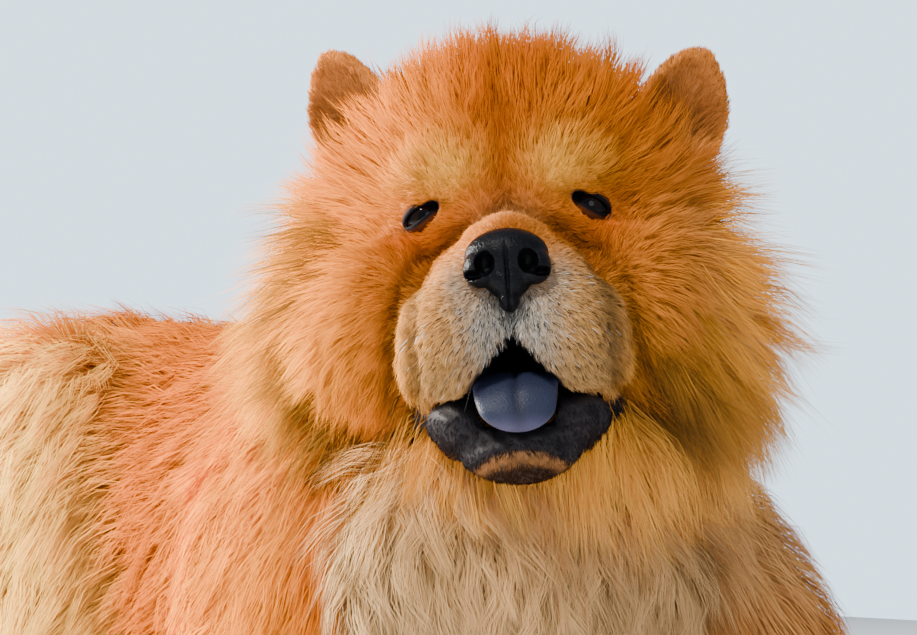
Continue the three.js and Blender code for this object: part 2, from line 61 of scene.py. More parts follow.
UP = np.array([0.0, 0.0, 1.0])
DOWN = -UP
SEED = 11
FLOOR_CLEARANCE = 0.6

Array = np.ndarray
Triple = tuple[float, float, float]
Oval = tuple[Triple, Triple]
SIDES = (-1, 1)


def unit(vectors: Array) -> Array:
    """Scales each vector to length one.

    Args:
        vectors: Any array whose last axis is x, y, z.

    Returns:
        The unit vectors.
    """
    length = np.linalg.norm(vectors, axis=-1, keepdims=True)
    return vectors / np.maximum(length, 1e-9)


def ease(value: Array, low: float, high: float) -> Array:
    """Goes smoothly from 0 at low to 1 at high.

    Args:
        value: The numbers to judge.
        low: Where the result leaves 0.
        high: Where the result reaches 1.

    Returns:
        Numbers from 0 to 1.
    """
    share = np.clip((value - low) / (high - low), 0.0, 1.0)
    return share * share * (3.0 - 2.0 * share)


def colour(red: int, green: int, blue: int) -> Array:
    """Turns a screen colour, 0 to 255, into the linear values that shaders use."""
    screen = np.array([red, green, blue]) / 255.0
    return np.where(screen <= 0.04045, screen / 12.92, ((screen + 0.055) / 1.055) ** 2.4)


@dataclass(frozen=True)
class Basis:
    """Three axes at right angles with an origin: left, forward or out of the face, and up."""

    origin: Array
    axes: Array

    def world(self, local: Array) -> Array:
        """Places local points in the shared frame."""
        return self.origin + np.asarray(local, float) @ self.axes

    def local(self, world: Array) -> Array:
        """Reads shared-frame points in local coordinates."""
        return (world - self.origin) @ self.axes.T

    def turn(self, local: Array) -> Array:
        """Turns local directions into the shared frame."""
        return np.asarray(local, float) @ self.axes


def head_basis(origin: Sequence[float], heading: float, pitch: float, roll: float) -> Basis:
    """Stands the head's axes at the middle of the nose.

    Args:
        origin: The middle of the nose.
        heading: Degrees from -Y towards -X that the face looks.
        pitch: Degrees that it looks up.
        roll: Degrees that its left side is raised.

    Returns:
        The head's basis.
    """
    turn, tip, lean = (math.radians(a) for a in (heading, pitch, roll))
    level = np.array([-math.sin(turn), -math.cos(turn), 0.0])
    face = level * math.cos(tip) + UP * math.sin(tip)
    flat_left = unit(np.cross(UP, face))
    flat_crown = np.cross(face, flat_left)
    left = flat_left * math.cos(lean) + flat_crown * math.sin(lean)
    crown = np.cross(face, left)
    return Basis(np.array(origin, float), np.array([left, face, crown]))


def body_basis(origin: Sequence[float], heading: float) -> Basis:
    """Stands a level frame on the floor whose axes are left, forward and up.

    Args:
        origin: Where it stands.
        heading: Degrees from -Y towards -X that it faces.

    Returns:
        The frame.
    """
    turn = math.radians(heading)
    forward = np.array([-math.sin(turn), -math.cos(turn), 0.0])
    return Basis(np.array(origin, float), np.array([np.cross(UP, forward), forward, UP]))


HEAD = head_basis((-145, -398, 329), heading=40.5, pitch=5, roll=3.8)
SHOULDERS = body_basis((0, -150, 0), 16)
HIPS = body_basis((-8, 215, 0), -14)


class Region(Enum):
    """The stretches of coat, each of which becomes pieces of its own."""

    TRUNK = 0
    HAUNCH = 1
    LEGS = 2
    MANE = 3
    BIB = 4
    TAIL = 5
    FACE = 6
    CROWN = 7
    CHEEKS = 8


@dataclass(frozen=True)
class Hair:
    """How the hair of one stretch grows, in millimetres and degrees."""

    length: float
    lift: float
    fall: float
    width: float
    wave: float = 0.0

    def numbers(self) -> list[float]:
        """Lists the numbers in the order that the growth keeps them."""
        return [self.length, self.lift, self.fall, self.width, self.wave]


@dataclass(frozen=True)
class Loft:
    """A rounded body along a curve: place, half width, half height above and below at each station."""

    name: str
    region: Region
    stations: tuple[tuple[float, ...], ...]
    reference: tuple[float, float, float]
    inset: float
    hair: Hair
    flow: Callable[[Array, Array, Array], Array] | None
    dome: float = 0.08
    thick_coat: float = 15.0

    def _curve(self, rows: Array, t: Array) -> Array:
        """Runs a smooth curve through rows of numbers.

        Args:
            rows: One row of numbers for each station.
            t: Shares of the way, 0 to 1.

        Returns:
            The numbers at those shares.
        """
        first, last = 2 * rows[0] - rows[1], 2 * rows[-1] - rows[-2]
        padded = np.vstack([first, rows, last])
        where = np.clip(t, 0, 1) * (len(rows) - 1)
        i = np.minimum(where.astype(int), len(rows) - 2)
        s = (where - i)[:, None]
        a, b, c, d = padded[i], padded[i + 1], padded[i + 2], padded[i + 3]
        out, back = 0.5 * (c - a), 0.5 * (d - b)
        return b + s * out + s**2 * (3 * (c - b) - 2 * out - back) + s**3 * (2 * (b - c) + out + back)

    def skin(self, t: Array, angle: Array, swell: Array) -> tuple[Array, Array, Array]:
        """Finds points of the skin.

        Args:
            t: Shares of the way along.
            angle: Angles round the body.
            swell: Share of the full size, less than one in the rounded ends.

        Returns:
            The points, the outward directions and the directions along.
        """
        rows = np.array(self.stations)
        places, sizes = rows[:, :3], rows[:, 3:6]
        step = 1e-3
        along = unit(self._curve(places, t + step) - self._curve(places, t - step))
        side = unit(np.cross(along, self.reference))
        up = unit(np.cross(side, along))
        size = np.maximum(self._curve(sizes, t) - self.inset, 4.0)
        rise = np.sin(angle)
        half = np.where(rise > 0, size[:, 1], size[:, 2])
        out = side * (np.cos(angle) * size[:, 0])[:, None] + up * (rise * half)[:, None]
        return self._curve(places, t) + out * swell[:, None], unit(out), along

    def shape(self, sphere: Array) -> tuple[Array, Array, Array]:
        """Maps the points of a unit ball to the skin.

        Args:
            sphere: Points of a ball of radius one.

        Returns:
            The skin's points, outward directions and directions along.
        """
        share = np.arccos(np.clip(-sphere[:, 2], -1, 1)) / math.pi
        angle = np.arctan2(sphere[:, 1], sphere[:, 0])
        cap = 0.16
        from_end = np.minimum(share, 1 - share)
        bend = np.minimum(from_end / cap, 1) * math.pi / 2
        inner = self.dome + (0.5 - self.dome) * (from_end - cap) / (0.5 - cap)
        t = np.where(from_end < cap, self.dome * (1 - np.cos(bend)), inner)
        t = np.where(share > 0.5, 1 - t, t)
        swell = np.maximum(np.sin(bend), 0.0)
        pull = 0.04 if self.inset > self.thick_coat else 0.0
        return self.skin(pull + (1 - 2 * pull) * t, angle, swell)


def stand(frame: Basis, side: int, rows: Sequence[Sequence[float]]) -> tuple[tuple[float, ...], ...]:
    """Places limb stations in a body frame.

    Args:
        frame: The shoulders' or the hips' frame.
        side: 1 for the dog's left and -1 for its right.
        rows: Ahead, out, height, then the three half sizes.

    Returns:
        Stations in the shared frame.
    """
    placed = []
    for ahead, out, height, *sizes in rows:
        place = frame.world((side * out, ahead, height))
        full = list(sizes) if len(sizes) == 3 else [sizes[0], sizes[1], sizes[1]]
        placed.append((*place, *full))
    return tuple(placed)


def blend(*shares: tuple[float, Array]) -> Array:
    """Adds weighted directions and scales the sum to length one."""
    return unit(sum(weight * np.asarray(direction) for weight, direction in shares))


@dataclass(frozen=True)
class Lie:
    """How the coat lies on a loft: shares of the way along it, of down and of one fixed way."""

    along: float
    down: float = 0.0
    fixed: float = 0.0
    way: Triple = (0.0, 0.0, 0.0)

    def flow(self, along: Array, out: Array, place: Array) -> Array:
        """Blends the shares into one direction for each point."""
        return blend((self.along, along), (self.down, DOWN), (self.fixed, self.way))


BACK_TOP = 326
BODY_HALF_WIDTH = 142


def trunk_loft() -> Loft:
    """The barrel of the body, from the rump to the brisket.

    Returns:
        The loft.
    """
    heart = BACK_TOP - 158
    wide = BODY_HALF_WIDTH
    stations = (
        (-36, 304, heart + 20, 62, 76, 90),
        (-26, 268, heart + 12, 108, 126, 160),
        (-10, 210, heart + 4, wide - 8, 160, 190),
        (8, 120, heart, wide - 8, 159, 190),
        (20, 30, heart - 2, wide - 10, 156, 190),
        (14, -60, heart, wide, 158, 190),
        (0, -140, heart + 6, wide + 4, 160, 190),
        (-20, -205, heart + 10, 126, 132, 160),
        (-32, -246, heart + 8, 74, 84, 96),
    )
    hair = Hair(length=52, lift=30, fall=4, width=0.95, wave=0.05)
    lie = Lie(along=-1.0, down=0.55)
    return Loft("trunk", Region.TRUNK, stations, (0, 0, 1), 24, hair, lie.flow, 0.05)


def haunch_loft(side: int) -> Loft:
    """A haunch, from the croup down to the floor.

    Args:
        side: 1 for the dog's left and -1 for its right.

    Returns:
        The loft.
    """
    rows = (
        (6, 66, 302, 34, 50),
        (24, 84, 262, 56, 92),
        (38, 94, 186, 68, 114),
        (52, 98, 100, 66, 114),
        (58, 100, 28, 52, 90),
    )
    hair = Hair(length=50, lift=34, fall=6, width=0.9, wave=0.06)
    forward = tuple(HIPS.axes[1])
    lie = Lie(along=1.0, fixed=-0.5, way=forward)
    placed = stand(HIPS, side, rows)
    return Loft(f"haunch_{side}", Region.HAUNCH, placed, forward, 22, hair, lie.flow, 0.1)


def hock_loft(side: int) -> Loft:
    """The lower hind leg, flat on the floor outside the haunch.

    Args:
        side: 1 for the dog's left and -1 for its right.

    Returns:
        The loft.
    """
    rows = ((-70, 118, 44, 30, 34, 48), (-14, 140, 40, 32, 32, 46), (66, 156, 32, 33, 29, 40))
    hair = Hair(length=24, lift=28, fall=4, width=1.0)
    lie = Lie(along=1.0, down=0.4)
    return Loft(f"hock_{side}", Region.LEGS, stand(HIPS, side, rows), (0, 0, 1), 8, hair, lie.flow, 0.1)


ARM_ROWS = {
    -1: (
        (4, 76, 262, 44, 74),
        (46, 104, 200, 58, 94),
        (56, 118, 130, 60, 94),
        (44, 130, 66, 54, 74),
        (40, 132, 26, 42, 56),
    ),
    1: (
        (8, 78, 256, 44, 64),
        (48, 120, 204, 56, 76),
        (72, 160, 138, 60, 74),
        (80, 182, 82, 56, 62),
        (76, 186, 34, 44, 48),
    ),
}
FOREARM_PATH = {-1: ((70, 132), (160, 122), (240, 112)), 1: ((102, 182), (188, 166), (264, 148))}
FOREARM_SIZES = ((46, 42, 42, 56), (42, 39, 38, 56), (38, 34, 32, 56))


def arm_loft(side: int) -> Loft:
    """A shoulder and upper arm.

    Args:
        side: 1 for the dog's left and -1 for its right.

    Returns:
        The loft.
    """
    hair = Hair(length=40, lift=26, fall=2, width=0.8, wave=0.04)
    forward = tuple(SHOULDERS.axes[1])
    lie = Lie(along=1.0, fixed=-0.35, way=forward)
    placed = stand(SHOULDERS, side, ARM_ROWS[side])
    return Loft(f"arm_{side}", Region.LEGS, placed, forward, 18, hair, lie.flow, 0.1)


def forearm_loft(side: int) -> Loft:
    """A forearm along the floor.

    Args:
        side: 1 for the dog's left and -1 for its right.

    Returns:
        The loft.
    """
    rows = [
        (ahead, out, height, across, up, down)
        for (ahead, out), (height, across, up, down) in zip(FOREARM_PATH[side], FOREARM_SIZES)
    ]
    hair = Hair(length=26, lift=26, fall=2, width=0.8)
    lie = Lie(along=1.0, down=0.45)
    placed = stand(SHOULDERS, side, rows)
    return Loft(f"forearm_{side}", Region.LEGS, placed, (0, 0, 1), 9, hair, lie.flow, 0.1)


def mane_loft() -> Loft:
    """The neck inside the mane.

    Returns:
        The loft.
    """
    stations = (
        (4, -158, 222, 104, 92, 100),
        (-8, -208, 250, 116, 104, 112),
        (-26, -252, 282, 122, 114, 118),
        (-44, -286, 304, 120, 110, 116),
        (-62, -316, 318, 104, 92, 100),
    )
    hair = Hair(length=90, lift=62, fall=18, width=0.66, wave=0.08)

    def flow(along: Array, out: Array, place: Array) -> Array:
        """Lays the mane back and down, less so near the face.

        Args:
            along: The way along the neck at each point.
            out: The outward way.
            place: The points, from the nose.

        Returns:
            One direction for each point.
        """
        near_face = ease(-place @ HEAD.axes[1], -60, 160)[:, None]
        return unit(along * (-0.85 + 0.5 * (1 - near_face)) + DOWN * 0.62 + out * 0.2)

    return Loft("mane", Region.MANE, stations, (0, 0, 1), 34, hair, flow, 0.12)


def bib_loft() -> Loft:
    """The chest inside the bib.

    Returns:
        The loft.
    """
    stations = (
        (-50, -296, 232, 78, 34, 44),
        (-58, -304, 196, 100, 48, 50),
        (-52, -300, 158, 104, 54, 50),
        (-42, -282, 106, 88, 52, 46),
        (-38, -266, 60, 62, 42, 36),
    )
    hair = Hair(length=58, lift=44, fall=0, width=0.55, wave=0.16)
    forward = tuple(SHOULDERS.axes[1])
    lie = Lie(along=0.0, down=1.0, fixed=0.25, way=forward)
    return Loft("bib", Region.BIB, stations, forward, 16, hair, lie.flow, 0.2)


def tail_loft() -> Loft:
    """The tail inside its plume.

    Returns:
        The loft.
    """
    stations = (
        (-34, 296, 268, 34, 32, 32),
        (-8, 330, 280, 38, 38, 38),
        (62, 338, 276, 40, 40, 40),
        (132, 300, 262, 40, 40, 40),
        (176, 236, 246, 38, 38, 38),
        (190, 168, 228, 24, 26, 26),
    )
    hair = Hair(length=66, lift=38, fall=4, width=0.8, wave=0.12)
    lie = Lie(along=1.0, down=0.4)
    return Loft("tail", Region.TAIL, stations, (0, 0, 1), 20, hair, lie.flow, 0.08)


def body_lofts() -> list[Loft]:
    """Every loft of the body, in one list.

    Returns:
        The lofts.
    """
    lofts = [trunk_loft(), mane_loft(), bib_loft(), tail_loft()]
    for side in SIDES:
        lofts += [haunch_loft(side), hock_loft(side), arm_loft(side), forearm_loft(side)]
    return lofts


@dataclass(frozen=True)
class Spot:
    """A soft patch of colour: its middle, its half sizes, its colour and its strength."""

    middle: tuple[float, float, float]
    half: tuple[float, float, float]
    tint: Array
    strength: float = 1.0
    both_sides: bool = True

    def weight(self, points: Array) -> Array:
        """Says how much of the patch each point has, 0 to 1.

        Args:
            points: The points to judge.

        Returns:
            One share for each point.
        """
        places = points.copy()
        if self.both_sides:
            places[:, 0] = np.abs(places[:, 0])
        reach = ((places - self.middle) / self.half) ** 2
        return self.strength * np.exp(-reach.sum(axis=1))


def paint(points: Array, base: Array, spots: Sequence[Spot]) -> Array:
    """Lays patches over a base colour, one after the other.

    Args:
        points: The points to colour.
        base: One colour, or one for each point.
        spots: The patches, in the order in which they cover each other.

    Returns:
        One linear colour for each point.
    """
    made = np.broadcast_to(base, points.shape).copy()
    for spot in spots:
        share = spot.weight(points)[:, None]
        made = made * (1 - share) + spot.tint * share
    return made


ORANGE = colour(202, 106, 14)
BRIDGE = colour(234, 154, 84)
DEEP_ORANGE = colour(188, 84, 10)
RED_BROWN = colour(150, 56, 12)
GOLD = colour(238, 150, 30)
CREAM = colour(250, 184, 62)
BUFF = colour(228, 158, 62)
# Greyer buff laid on the dog's left side of the ruff and mane as painted shade: the tone of the side that
# the lights leave in shade.
SHADOW_SIDE_BUFF = colour(214, 172, 112)
GREY = colour(152, 150, 138)
# Dark grey under the nose: grey hair darkened as painted shadow of the nose.
NOSE_SHADOW_GREY = colour(92, 92, 92)
TAN = colour(216, 168, 96)
# Darker olive tan of the muzzle's lobes: partly their own tone, partly painted shade on their undersides and
# on the muzzle's shaded side.
LOBE_TAN_AND_SHADE = colour(162, 130, 82)
CHIN = colour(140, 94, 54)
# Very dark brown under the tan chin band: dark fur, darkened further as painted shadow under the jaw.
CHIN_SHADOW_BROWN = colour(44, 28, 18)
DARK_BROWN = colour(84, 42, 16)
BLACK_SKIN = colour(12, 12, 16)
DARK_LIP = colour(38, 34, 36)
EAR_RIM = colour(226, 138, 56)
# Darker orange inside the ear's cup, as painted shade of its hollow.
SHADED_EAR_CUP = colour(190, 112, 52)

FACE_SPOTS = (
    Spot((108, -128, -24), (32, 60, 74), GOLD, 0.97),
    Spot((60, -120, -90), (60, 70, 40), BUFF, 0.9),
    Spot((122, -134, -20), (24, 60, 70), CREAM, 0.5),
    # Painted shade: the greyer buff on the ruff's shaded side only.
    Spot((112, -130, -40), (40, 60, 84), SHADOW_SIDE_BUFF, 0.95, False),
    Spot((56, -50, -22), (18, 30, 34), BUFF, 0.55),
    Spot((64, -90, -10), (18, 30, 30), ORANGE, 0.7),
    Spot((0, -100, 96), (60, 60, 40), ORANGE, 0.8, False),
    Spot((0, -90, 66), (13, 40, 34), RED_BROWN, 0.55, False),
    Spot((14, -86, 96), (12, 40, 24), DEEP_ORANGE, 0.5),
    Spot((27, -76, 58), (15, 26, 12), CREAM, 0.9),
    Spot((42, -80, 56), (13, 26, 8), CREAM, 0.3),
    Spot((0, -66, 30), (17, 24, 12), BRIDGE, 0.9, False),
    Spot((50, -80, 22), (13, 16, 13), DEEP_ORANGE, 0.8),
    Spot((36, -60, 8), (14, 20, 16), ORANGE, 0.8),
    Spot((0, -36, 28), (18, 24, 10), BRIDGE, 0.85, False),
    Spot((26, -22, -30), (30, 34, 32), TAN, 0.95),
    # Lower part of the lobes darker: olive tan, deepened as painted shade under the muzzle.
    Spot((32, -24, -54), (26, 28, 18), LOBE_TAN_AND_SHADE, 0.85),
    Spot((0, -6, -26), (17, 24, 18), GREY, 0.95, False),
    Spot((14, -10, -34), (11, 26, 20), GREY, 0.8),
    Spot((25, -8, -8), (7, 20, 13), GREY, 0.6),
    # Painted shadow under the nose, laid over the grey hair.
    Spot((0, -6, -16), (13, 20, 8), NOSE_SHADOW_GREY, 0.75, False),
    Spot((0, -14, 19), (15, 12, 3.5), DARK_BROWN, 0.45, False),
    # Painted shade: the muzzle's side on the dog's left made darker than its right.
    Spot((36, -24, -22), (18, 30, 28), LOBE_TAN_AND_SHADE, 0.55, False),
    Spot((52, -60, -50), (12, 24, 14), BUFF, 0.6),
    Spot((55, -66, 31), (8, 14, 4), DARK_BROWN, 0.9),
    Spot((33, -60, 42), (5, 14, 4), DARK_BROWN, 0.6),
)


@dataclass
class Skull:
    """The head's surface as soft-edged masses that run into one another, seen from a point inside."""

    heart: Triple = (0.0, -88.0, 6.0)
    soft: float = 11.0
    eye_spread: float = 43.0
    eye_height: float = 38.0
    eye_slant: float = 0.48
    masses: list[tuple[Array, Array]] = field(init=False)

    def __post_init__(self) -> None:
        """Lists the masses: middle and half sizes."""
        single = [
            ((0, -140, 44), (92, 78, 84)),
            ((0, -108, 76), (66, 46, 48)),
            ((0, -54, -2), (46, 46, 28)),
            ((0, -48, 17), (23, 42, 15)),
        ]
        paired = [
            ((31, -78, 62), (27, 18, 17)),
            ((68, -110, -10), (42, 48, 52)),
            ((27, -27, -33), (30, 28, 32)),
            ((41, -50, -36), (22, 36, 30)),
        ]
        mirrored = [((side * x, y, z), half) for (x, y, z), half in paired for side in SIDES]
        self.masses = [(np.array(m, float), np.array(h, float)) for m, h in single + mirrored]

    def field(self, points: Array) -> Array:
        """Gives the rough distance from the surface, negative inside.

        Args:
            points: Points in the head's coordinates.

        Returns:
            One distance for each point, in millimetres.
        """
        near = np.full(len(points), 1e6)
        for middle, half in self.masses:
            inner = (points - middle) / half
            reach = np.linalg.norm(inner, axis=1)
            slope = np.linalg.norm(inner / half, axis=1)
            gap = reach * (reach - 1) / np.maximum(slope, 1e-6)
            blend_share = np.maximum(self.soft - np.abs(near - gap), 0) / self.soft
            near = np.minimum(near, gap) - blend_share**2 * self.soft / 4
        return near

    def reach(self, ways: Array) -> Array:
        """Finds how far the surface is from the heart in each direction.

        Args:
            ways: Unit directions in the head's coordinates.

        Returns:
            Distances in millimetres.
        """
        step = 4.0
        found = np.zeros(len(ways))
        for far in np.arange(4.0, 244.0, step):
            inside = self.field(self.heart + ways * far) <= 0
            found[inside] = far
        low, high = found.copy(), found + step
        for _ in range(12):
            middle = (low + high) / 2
            outside = self.field(self.heart + ways * middle[:, None]) > 0
            high = np.where(outside, middle, high)
            low = np.where(outside, low, middle)
        return low

    def depth_at(self, x: float, z: float) -> float:
        """Finds the surface straight behind a point of the face's plane.

        Args:
            x: How far to the head's left.
            z: How far towards the crown.

        Returns:
            The depth of the surface.
        """
        depths = np.arange(20.0, -200.0, -0.5)
        points = np.stack([np.full_like(depths, x), depths, np.full_like(depths, z)], axis=1)
        return float(depths[np.argmax(self.field(points) <= 0)])

    def eye(self, side: int, sunk: float) -> Array:
        """Places a point of the eye, in the head's coordinates."""
        depth = self.depth_at(self.eye_spread, self.eye_height)
        return np.array([side * self.eye_spread, depth - sunk, self.eye_height])

    def eye_axes(self, side: int) -> Array:
        """Gives the axes across, out of and up the eye's opening, in the head's coordinates.

        Args:
            side: 1 for the dog's left and -1 for its right.

        Returns:
            The three axes.
        """
        out = unit(np.array([side * 0.34, 1.0, 0.05]))
        across = np.array([side * math.cos(self.eye_slant), 0.0, -math.sin(self.eye_slant)])
        level = unit(across - out * (across @ out))
        return np.array([level, out, np.cross(out, level) * side * -1.0])


SKULL = Skull()


@dataclass(frozen=True)
class Ear:
    """One ear: its middle, half sizes, lean to the side and turn, in the head's coordinates."""

    middle: tuple[float, float, float]
    half: tuple[float, float, float]
    lean: float
    turn: float

    def axes(self) -> Array:
        """Gives the axes across, out of and up the ear, in the head's coordinates.

        Returns:
            The three axes.
        """
        face = unit(np.array([math.sin(self.turn), math.cos(self.turn), -0.12]))
        rise = np.array([math.sin(self.lean), 0.1, math.cos(self.lean)])
        rise = unit(rise - face * (rise @ face))
        return np.array([unit(np.cross(rise, face)), face, rise])

    def read(self, local: Array) -> Array:
        """Reads head points in the ear's own unit coordinates."""
        return ((local - self.middle) @ self.axes().T) / self.half


EARS = {
    1: Ear((98, -126, 95), (28, 11, 37), 0.42, 0.3),
    -1: Ear((-82, -126, 107), (26, 11, 36), -0.3, -0.35),
}


@dataclass(frozen=True)
class Groove:
    """A fold of the face as seen from in front, mirrored to both sides."""

    path: tuple[tuple[float, float], ...]
    depth: float
    width: float
    behind: float = -96.0

    def share(self, local: Array) -> Array:
        """Says how deep in the fold each point is, 0 to 1.

        Args:
            local: Points in the head's coordinates.

        Returns:
            One share for each point.
        """
        places = np.stack([np.abs(local[:, 0]), local[:, 2]], axis=1)
        near = np.full(len(places), 1e6)
        for start, end in zip(self.path, self.path[1:]):
            start, way = np.array(start, float), np.array(end, float) - np.array(start, float)
            t = np.clip(((places - start) @ way) / (way @ way), 0, 1)
            near = np.minimum(near, np.linalg.norm(places - start - t[:, None] * way, axis=1))
        return np.exp(-((near / self.width) ** 2)) * ease(local[:, 1], self.behind, self.behind + 16)


FOLDS = (
    Groove(((25, 20), (40, 6), (47, -14), (50, -36), (49, -56)), 2.6, 4.4),
    Groove(((32, 21), (49, 8), (58, -10), (62, -30), (64, -46)), 2.2, 5.0),
    Groove(((0, 42), (0, 62), (0, 106)), 3.0, 9.0),
    Groove(((3, 37), (15, 29), (27, 26)), 3.2, 5.0),
    Groove(((0, -22), (0, -36)), 2.6, 2.0),
)


def deselect() -> None:
    """Clears the selection, which the loaded frame leaves full."""
    if bpy.context.object and bpy.context.object.mode != "OBJECT":
        bpy.ops.object.mode_set(mode="OBJECT")
    bpy.ops.object.select_all(action="DESELECT")


def points_of(piece: bpy.types.Object) -> Array:
    """Reads the piece's points.

    Args:
        piece: The piece.

    Returns:
        One row for each point, in metres.
    """
    flat = np.empty(len(piece.data.vertices) * 3)
    piece.data.vertices.foreach_get("co", flat)
    return flat.reshape(-1, 3)


def normals_of(piece: bpy.types.Object) -> Array:
    """Reads the directions that the piece's points face.

    Args:
        piece: The piece.

    Returns:
        One unit vector for each point.
    """
    flat = np.empty(len(piece.data.vertices) * 3)
    piece.data.vertices.foreach_get("normal", flat)
    return flat.reshape(-1, 3)


def place_points(piece: bpy.types.Object, points: Array) -> None:
    """Writes the piece's points, in metres."""
    piece.data.vertices.foreach_set("co", np.ascontiguousarray(points, float).ravel())
    piece.data.update()


def add_ball(name: str, segments: int, rings: int) -> bpy.types.Object:
    """Adds a ball of radius one at the origin.

    Args:
        name: The piece's name.
        segments: Faces round it.
        rings: Faces from pole to pole.

    Returns:
        The ball.
    """
    deselect()
    bpy.ops.mesh.primitive_uv_sphere_add(segments=segments, ring_count=rings, radius=1.0, location=(0, 0, 0))
    piece = bpy.context.object
    piece.name = name
    return piece


def add_oval(
    name: str,
    middle: Array,
    half: Sequence[float],
    axes: Array,
    detail: int = 32,
) -> bpy.types.Object:
    """Adds a ball stretched along three axes.

    Args:
        name: The piece's name.
        middle: Its middle in the shared frame, in millimetres.
        half: Its half sizes.
        axes: Its three axes in the shared frame.
        detail: How many faces it has round it.

    Returns:
        The piece.
    """
    piece = add_ball(name, detail, detail * 2 // 3)
    points = (points_of(piece) * np.array(half, float)) @ np.asarray(axes) + middle
    place_points(piece, points * MM)
    face_out(piece)
    return piece


def face_out(piece: bpy.types.Object) -> None:
    """Turns the faces of a closed piece outwards.

    Args:
        piece: The piece to mend.
    """
    deselect()
    piece.select_set(True)
    bpy.context.view_layer.objects.active = piece
    bpy.ops.object.mode_set(mode="EDIT")
    bpy.ops.mesh.select_all(action="SELECT")
    bpy.ops.mesh.normals_make_consistent(inside=False)
    bpy.ops.object.mode_set(mode="OBJECT")


def join(pieces: Sequence[bpy.types.Object], name: str) -> bpy.types.Object:
    """Joins pieces into the first one.

    Args:
        pieces: The pieces, which are used up.
        name: The name of the joined piece.

    Returns:
        The joined piece.
    """
    deselect()
    for piece in pieces:
        piece.select_set(True)
    bpy.context.view_layer.objects.active = pieces[0]
    bpy.ops.object.join()
    pieces[0].name = name
    return pieces[0]


def finish_with(piece: bpy.types.Object, kind: str, **settings: object) -> None:
    """Adds a modifier with its settings and applies it.

    Args:
        piece: The piece to change.
        kind: The modifier's type.
        settings: Its settings by name.
    """
    deselect()
    piece.select_set(True)
    bpy.context.view_layer.objects.active = piece
    modifier = piece.modifiers.new(kind.title(), kind)
    for key, value in settings.items():
        setattr(modifier, key, value)
    bpy.ops.object.modifier_apply(modifier=modifier.name)


def fuse(piece: bpy.types.Object, voxel: float, rounds: int) -> None:
    """Fuses overlapping bodies into one skin and softens it.

    Args:
        piece: The joined bodies.
        voxel: The size of the new faces, in millimetres.
        rounds: How often the skin is smoothed.
    """
    finish_with(piece, "REMESH", mode="VOXEL", voxel_size=voxel * MM, use_smooth_shade=True)
    if rounds:
        finish_with(piece, "SMOOTH", factor=0.5, iterations=rounds)


def carve(piece: bpy.types.Object, cutter: bpy.types.Object) -> None:
    """Cuts one body out of another, and removes it."""
    finish_with(piece, "BOOLEAN", operation="DIFFERENCE", object=cutter, solver="EXACT")
    bpy.data.objects.remove(cutter)


ATTRIBUTE_KEYS = {"FLOAT_VECTOR": "vector", "FLOAT_COLOR": "color", "FLOAT": "value", "INT": "value"}


def write_attribute(piece: bpy.types.Object, name: str, kind: str, values: Array) -> None:
    """Writes one value for each point as a named attribute.

    Args:
        piece: The piece.
        name: The attribute's name.
        kind: Its type.
        values: One row for each point.
    """
    layer = piece.data.attributes.new(name, kind, "POINT")
    key = ATTRIBUTE_KEYS[kind]
    if kind == "FLOAT_COLOR":
        values = np.hstack([values, np.ones((len(values), 1))])
    layer.data.foreach_set(key, np.ascontiguousarray(values).ravel())


def read_attribute(piece: bpy.types.Object, name: str, size: int) -> Array:
    """Reads a named attribute as rows of the given size.

    Args:
        piece: The piece.
        name: The attribute's name.
        size: How many numbers a row has.

    Returns:
        The rows.
    """
    layer = piece.data.attributes[name]
    key = ATTRIBUTE_KEYS[layer.data_type]
    made = np.empty(len(layer.data) * size, dtype=np.int32 if layer.data_type == "INT" else np.float32)
    layer.data.foreach_get(key, made)
    return made.reshape(-1, size) if size > 1 else made


@dataclass
class Growth:
    """How the hair grows at each point of a skin."""

    lie: Array
    length: Array
    lift: Array
    fall: Array
    width: Array
    wave: Array
    density: Array
    region: Array
    tint: Array
    wet: Array

    def store(self, piece: bpy.types.Object) -> None:
        """Keeps the growth on the piece as attributes.

        Args:
            piece: The skin that the growth belongs to.
        """
        write_attribute(piece, "lie", "FLOAT_VECTOR", self.lie)
        write_attribute(piece, "growth", "FLOAT_VECTOR", np.stack([self.length, self.lift, self.fall], 1))
        write_attribute(piece, "form", "FLOAT_VECTOR", np.stack([self.width, self.wave, self.density], 1))
        write_attribute(piece, "region", "INT", self.region.astype(np.int32))
        write_attribute(piece, "Tint", "FLOAT_COLOR", self.tint)
        write_attribute(piece, "Wet", "FLOAT", self.wet)


REGION_TINTS = {
    # The flank's deep orange: the saddle's own colour, darkened further as painted shade of the hollow
    # between shoulder and haunch.
    Region.TRUNK: colour(170, 80, 6),
    Region.HAUNCH: colour(253, 190, 84),
    Region.LEGS: colour(228, 128, 14),
    Region.MANE: colour(241, 156, 36),
    # Grey cream of the bib, darkened as painted shade under the head.
    Region.BIB: colour(196, 160, 110),
    Region.TAIL: colour(250, 196, 104),
}
BODY_SPOTS = (
    Spot((-30, -230, 420), (120, 110, 60), colour(236, 140, 16), 0.7, False),
    Spot((-60, -340, 215), (130, 90, 46), colour(238, 180, 108), 0.6, False),
    Spot((-135, 56, 150), (16, 22, 90), colour(252, 222, 176), 0.85, False),
    Spot((120, 160, 150), (60, 60, 90), colour(248, 196, 116), 0.5, False),
    Spot((0, 60, 330), (120, 220, 30), colour(212, 116, 12), 0.6, False),
    # Painted shade: the greyer buff on the mane's shaded side only.
    Spot((84, -340, 210), (84, 110, 110), SHADOW_SIDE_BUFF, 0.9, False),
    Spot((0, 330, 180), (130, 50, 110), colour(250, 204, 134), 0.7, False),
    Spot((20, 40, 20), (150, 260, 50), colour(246, 180, 96), 0.6, False),
)


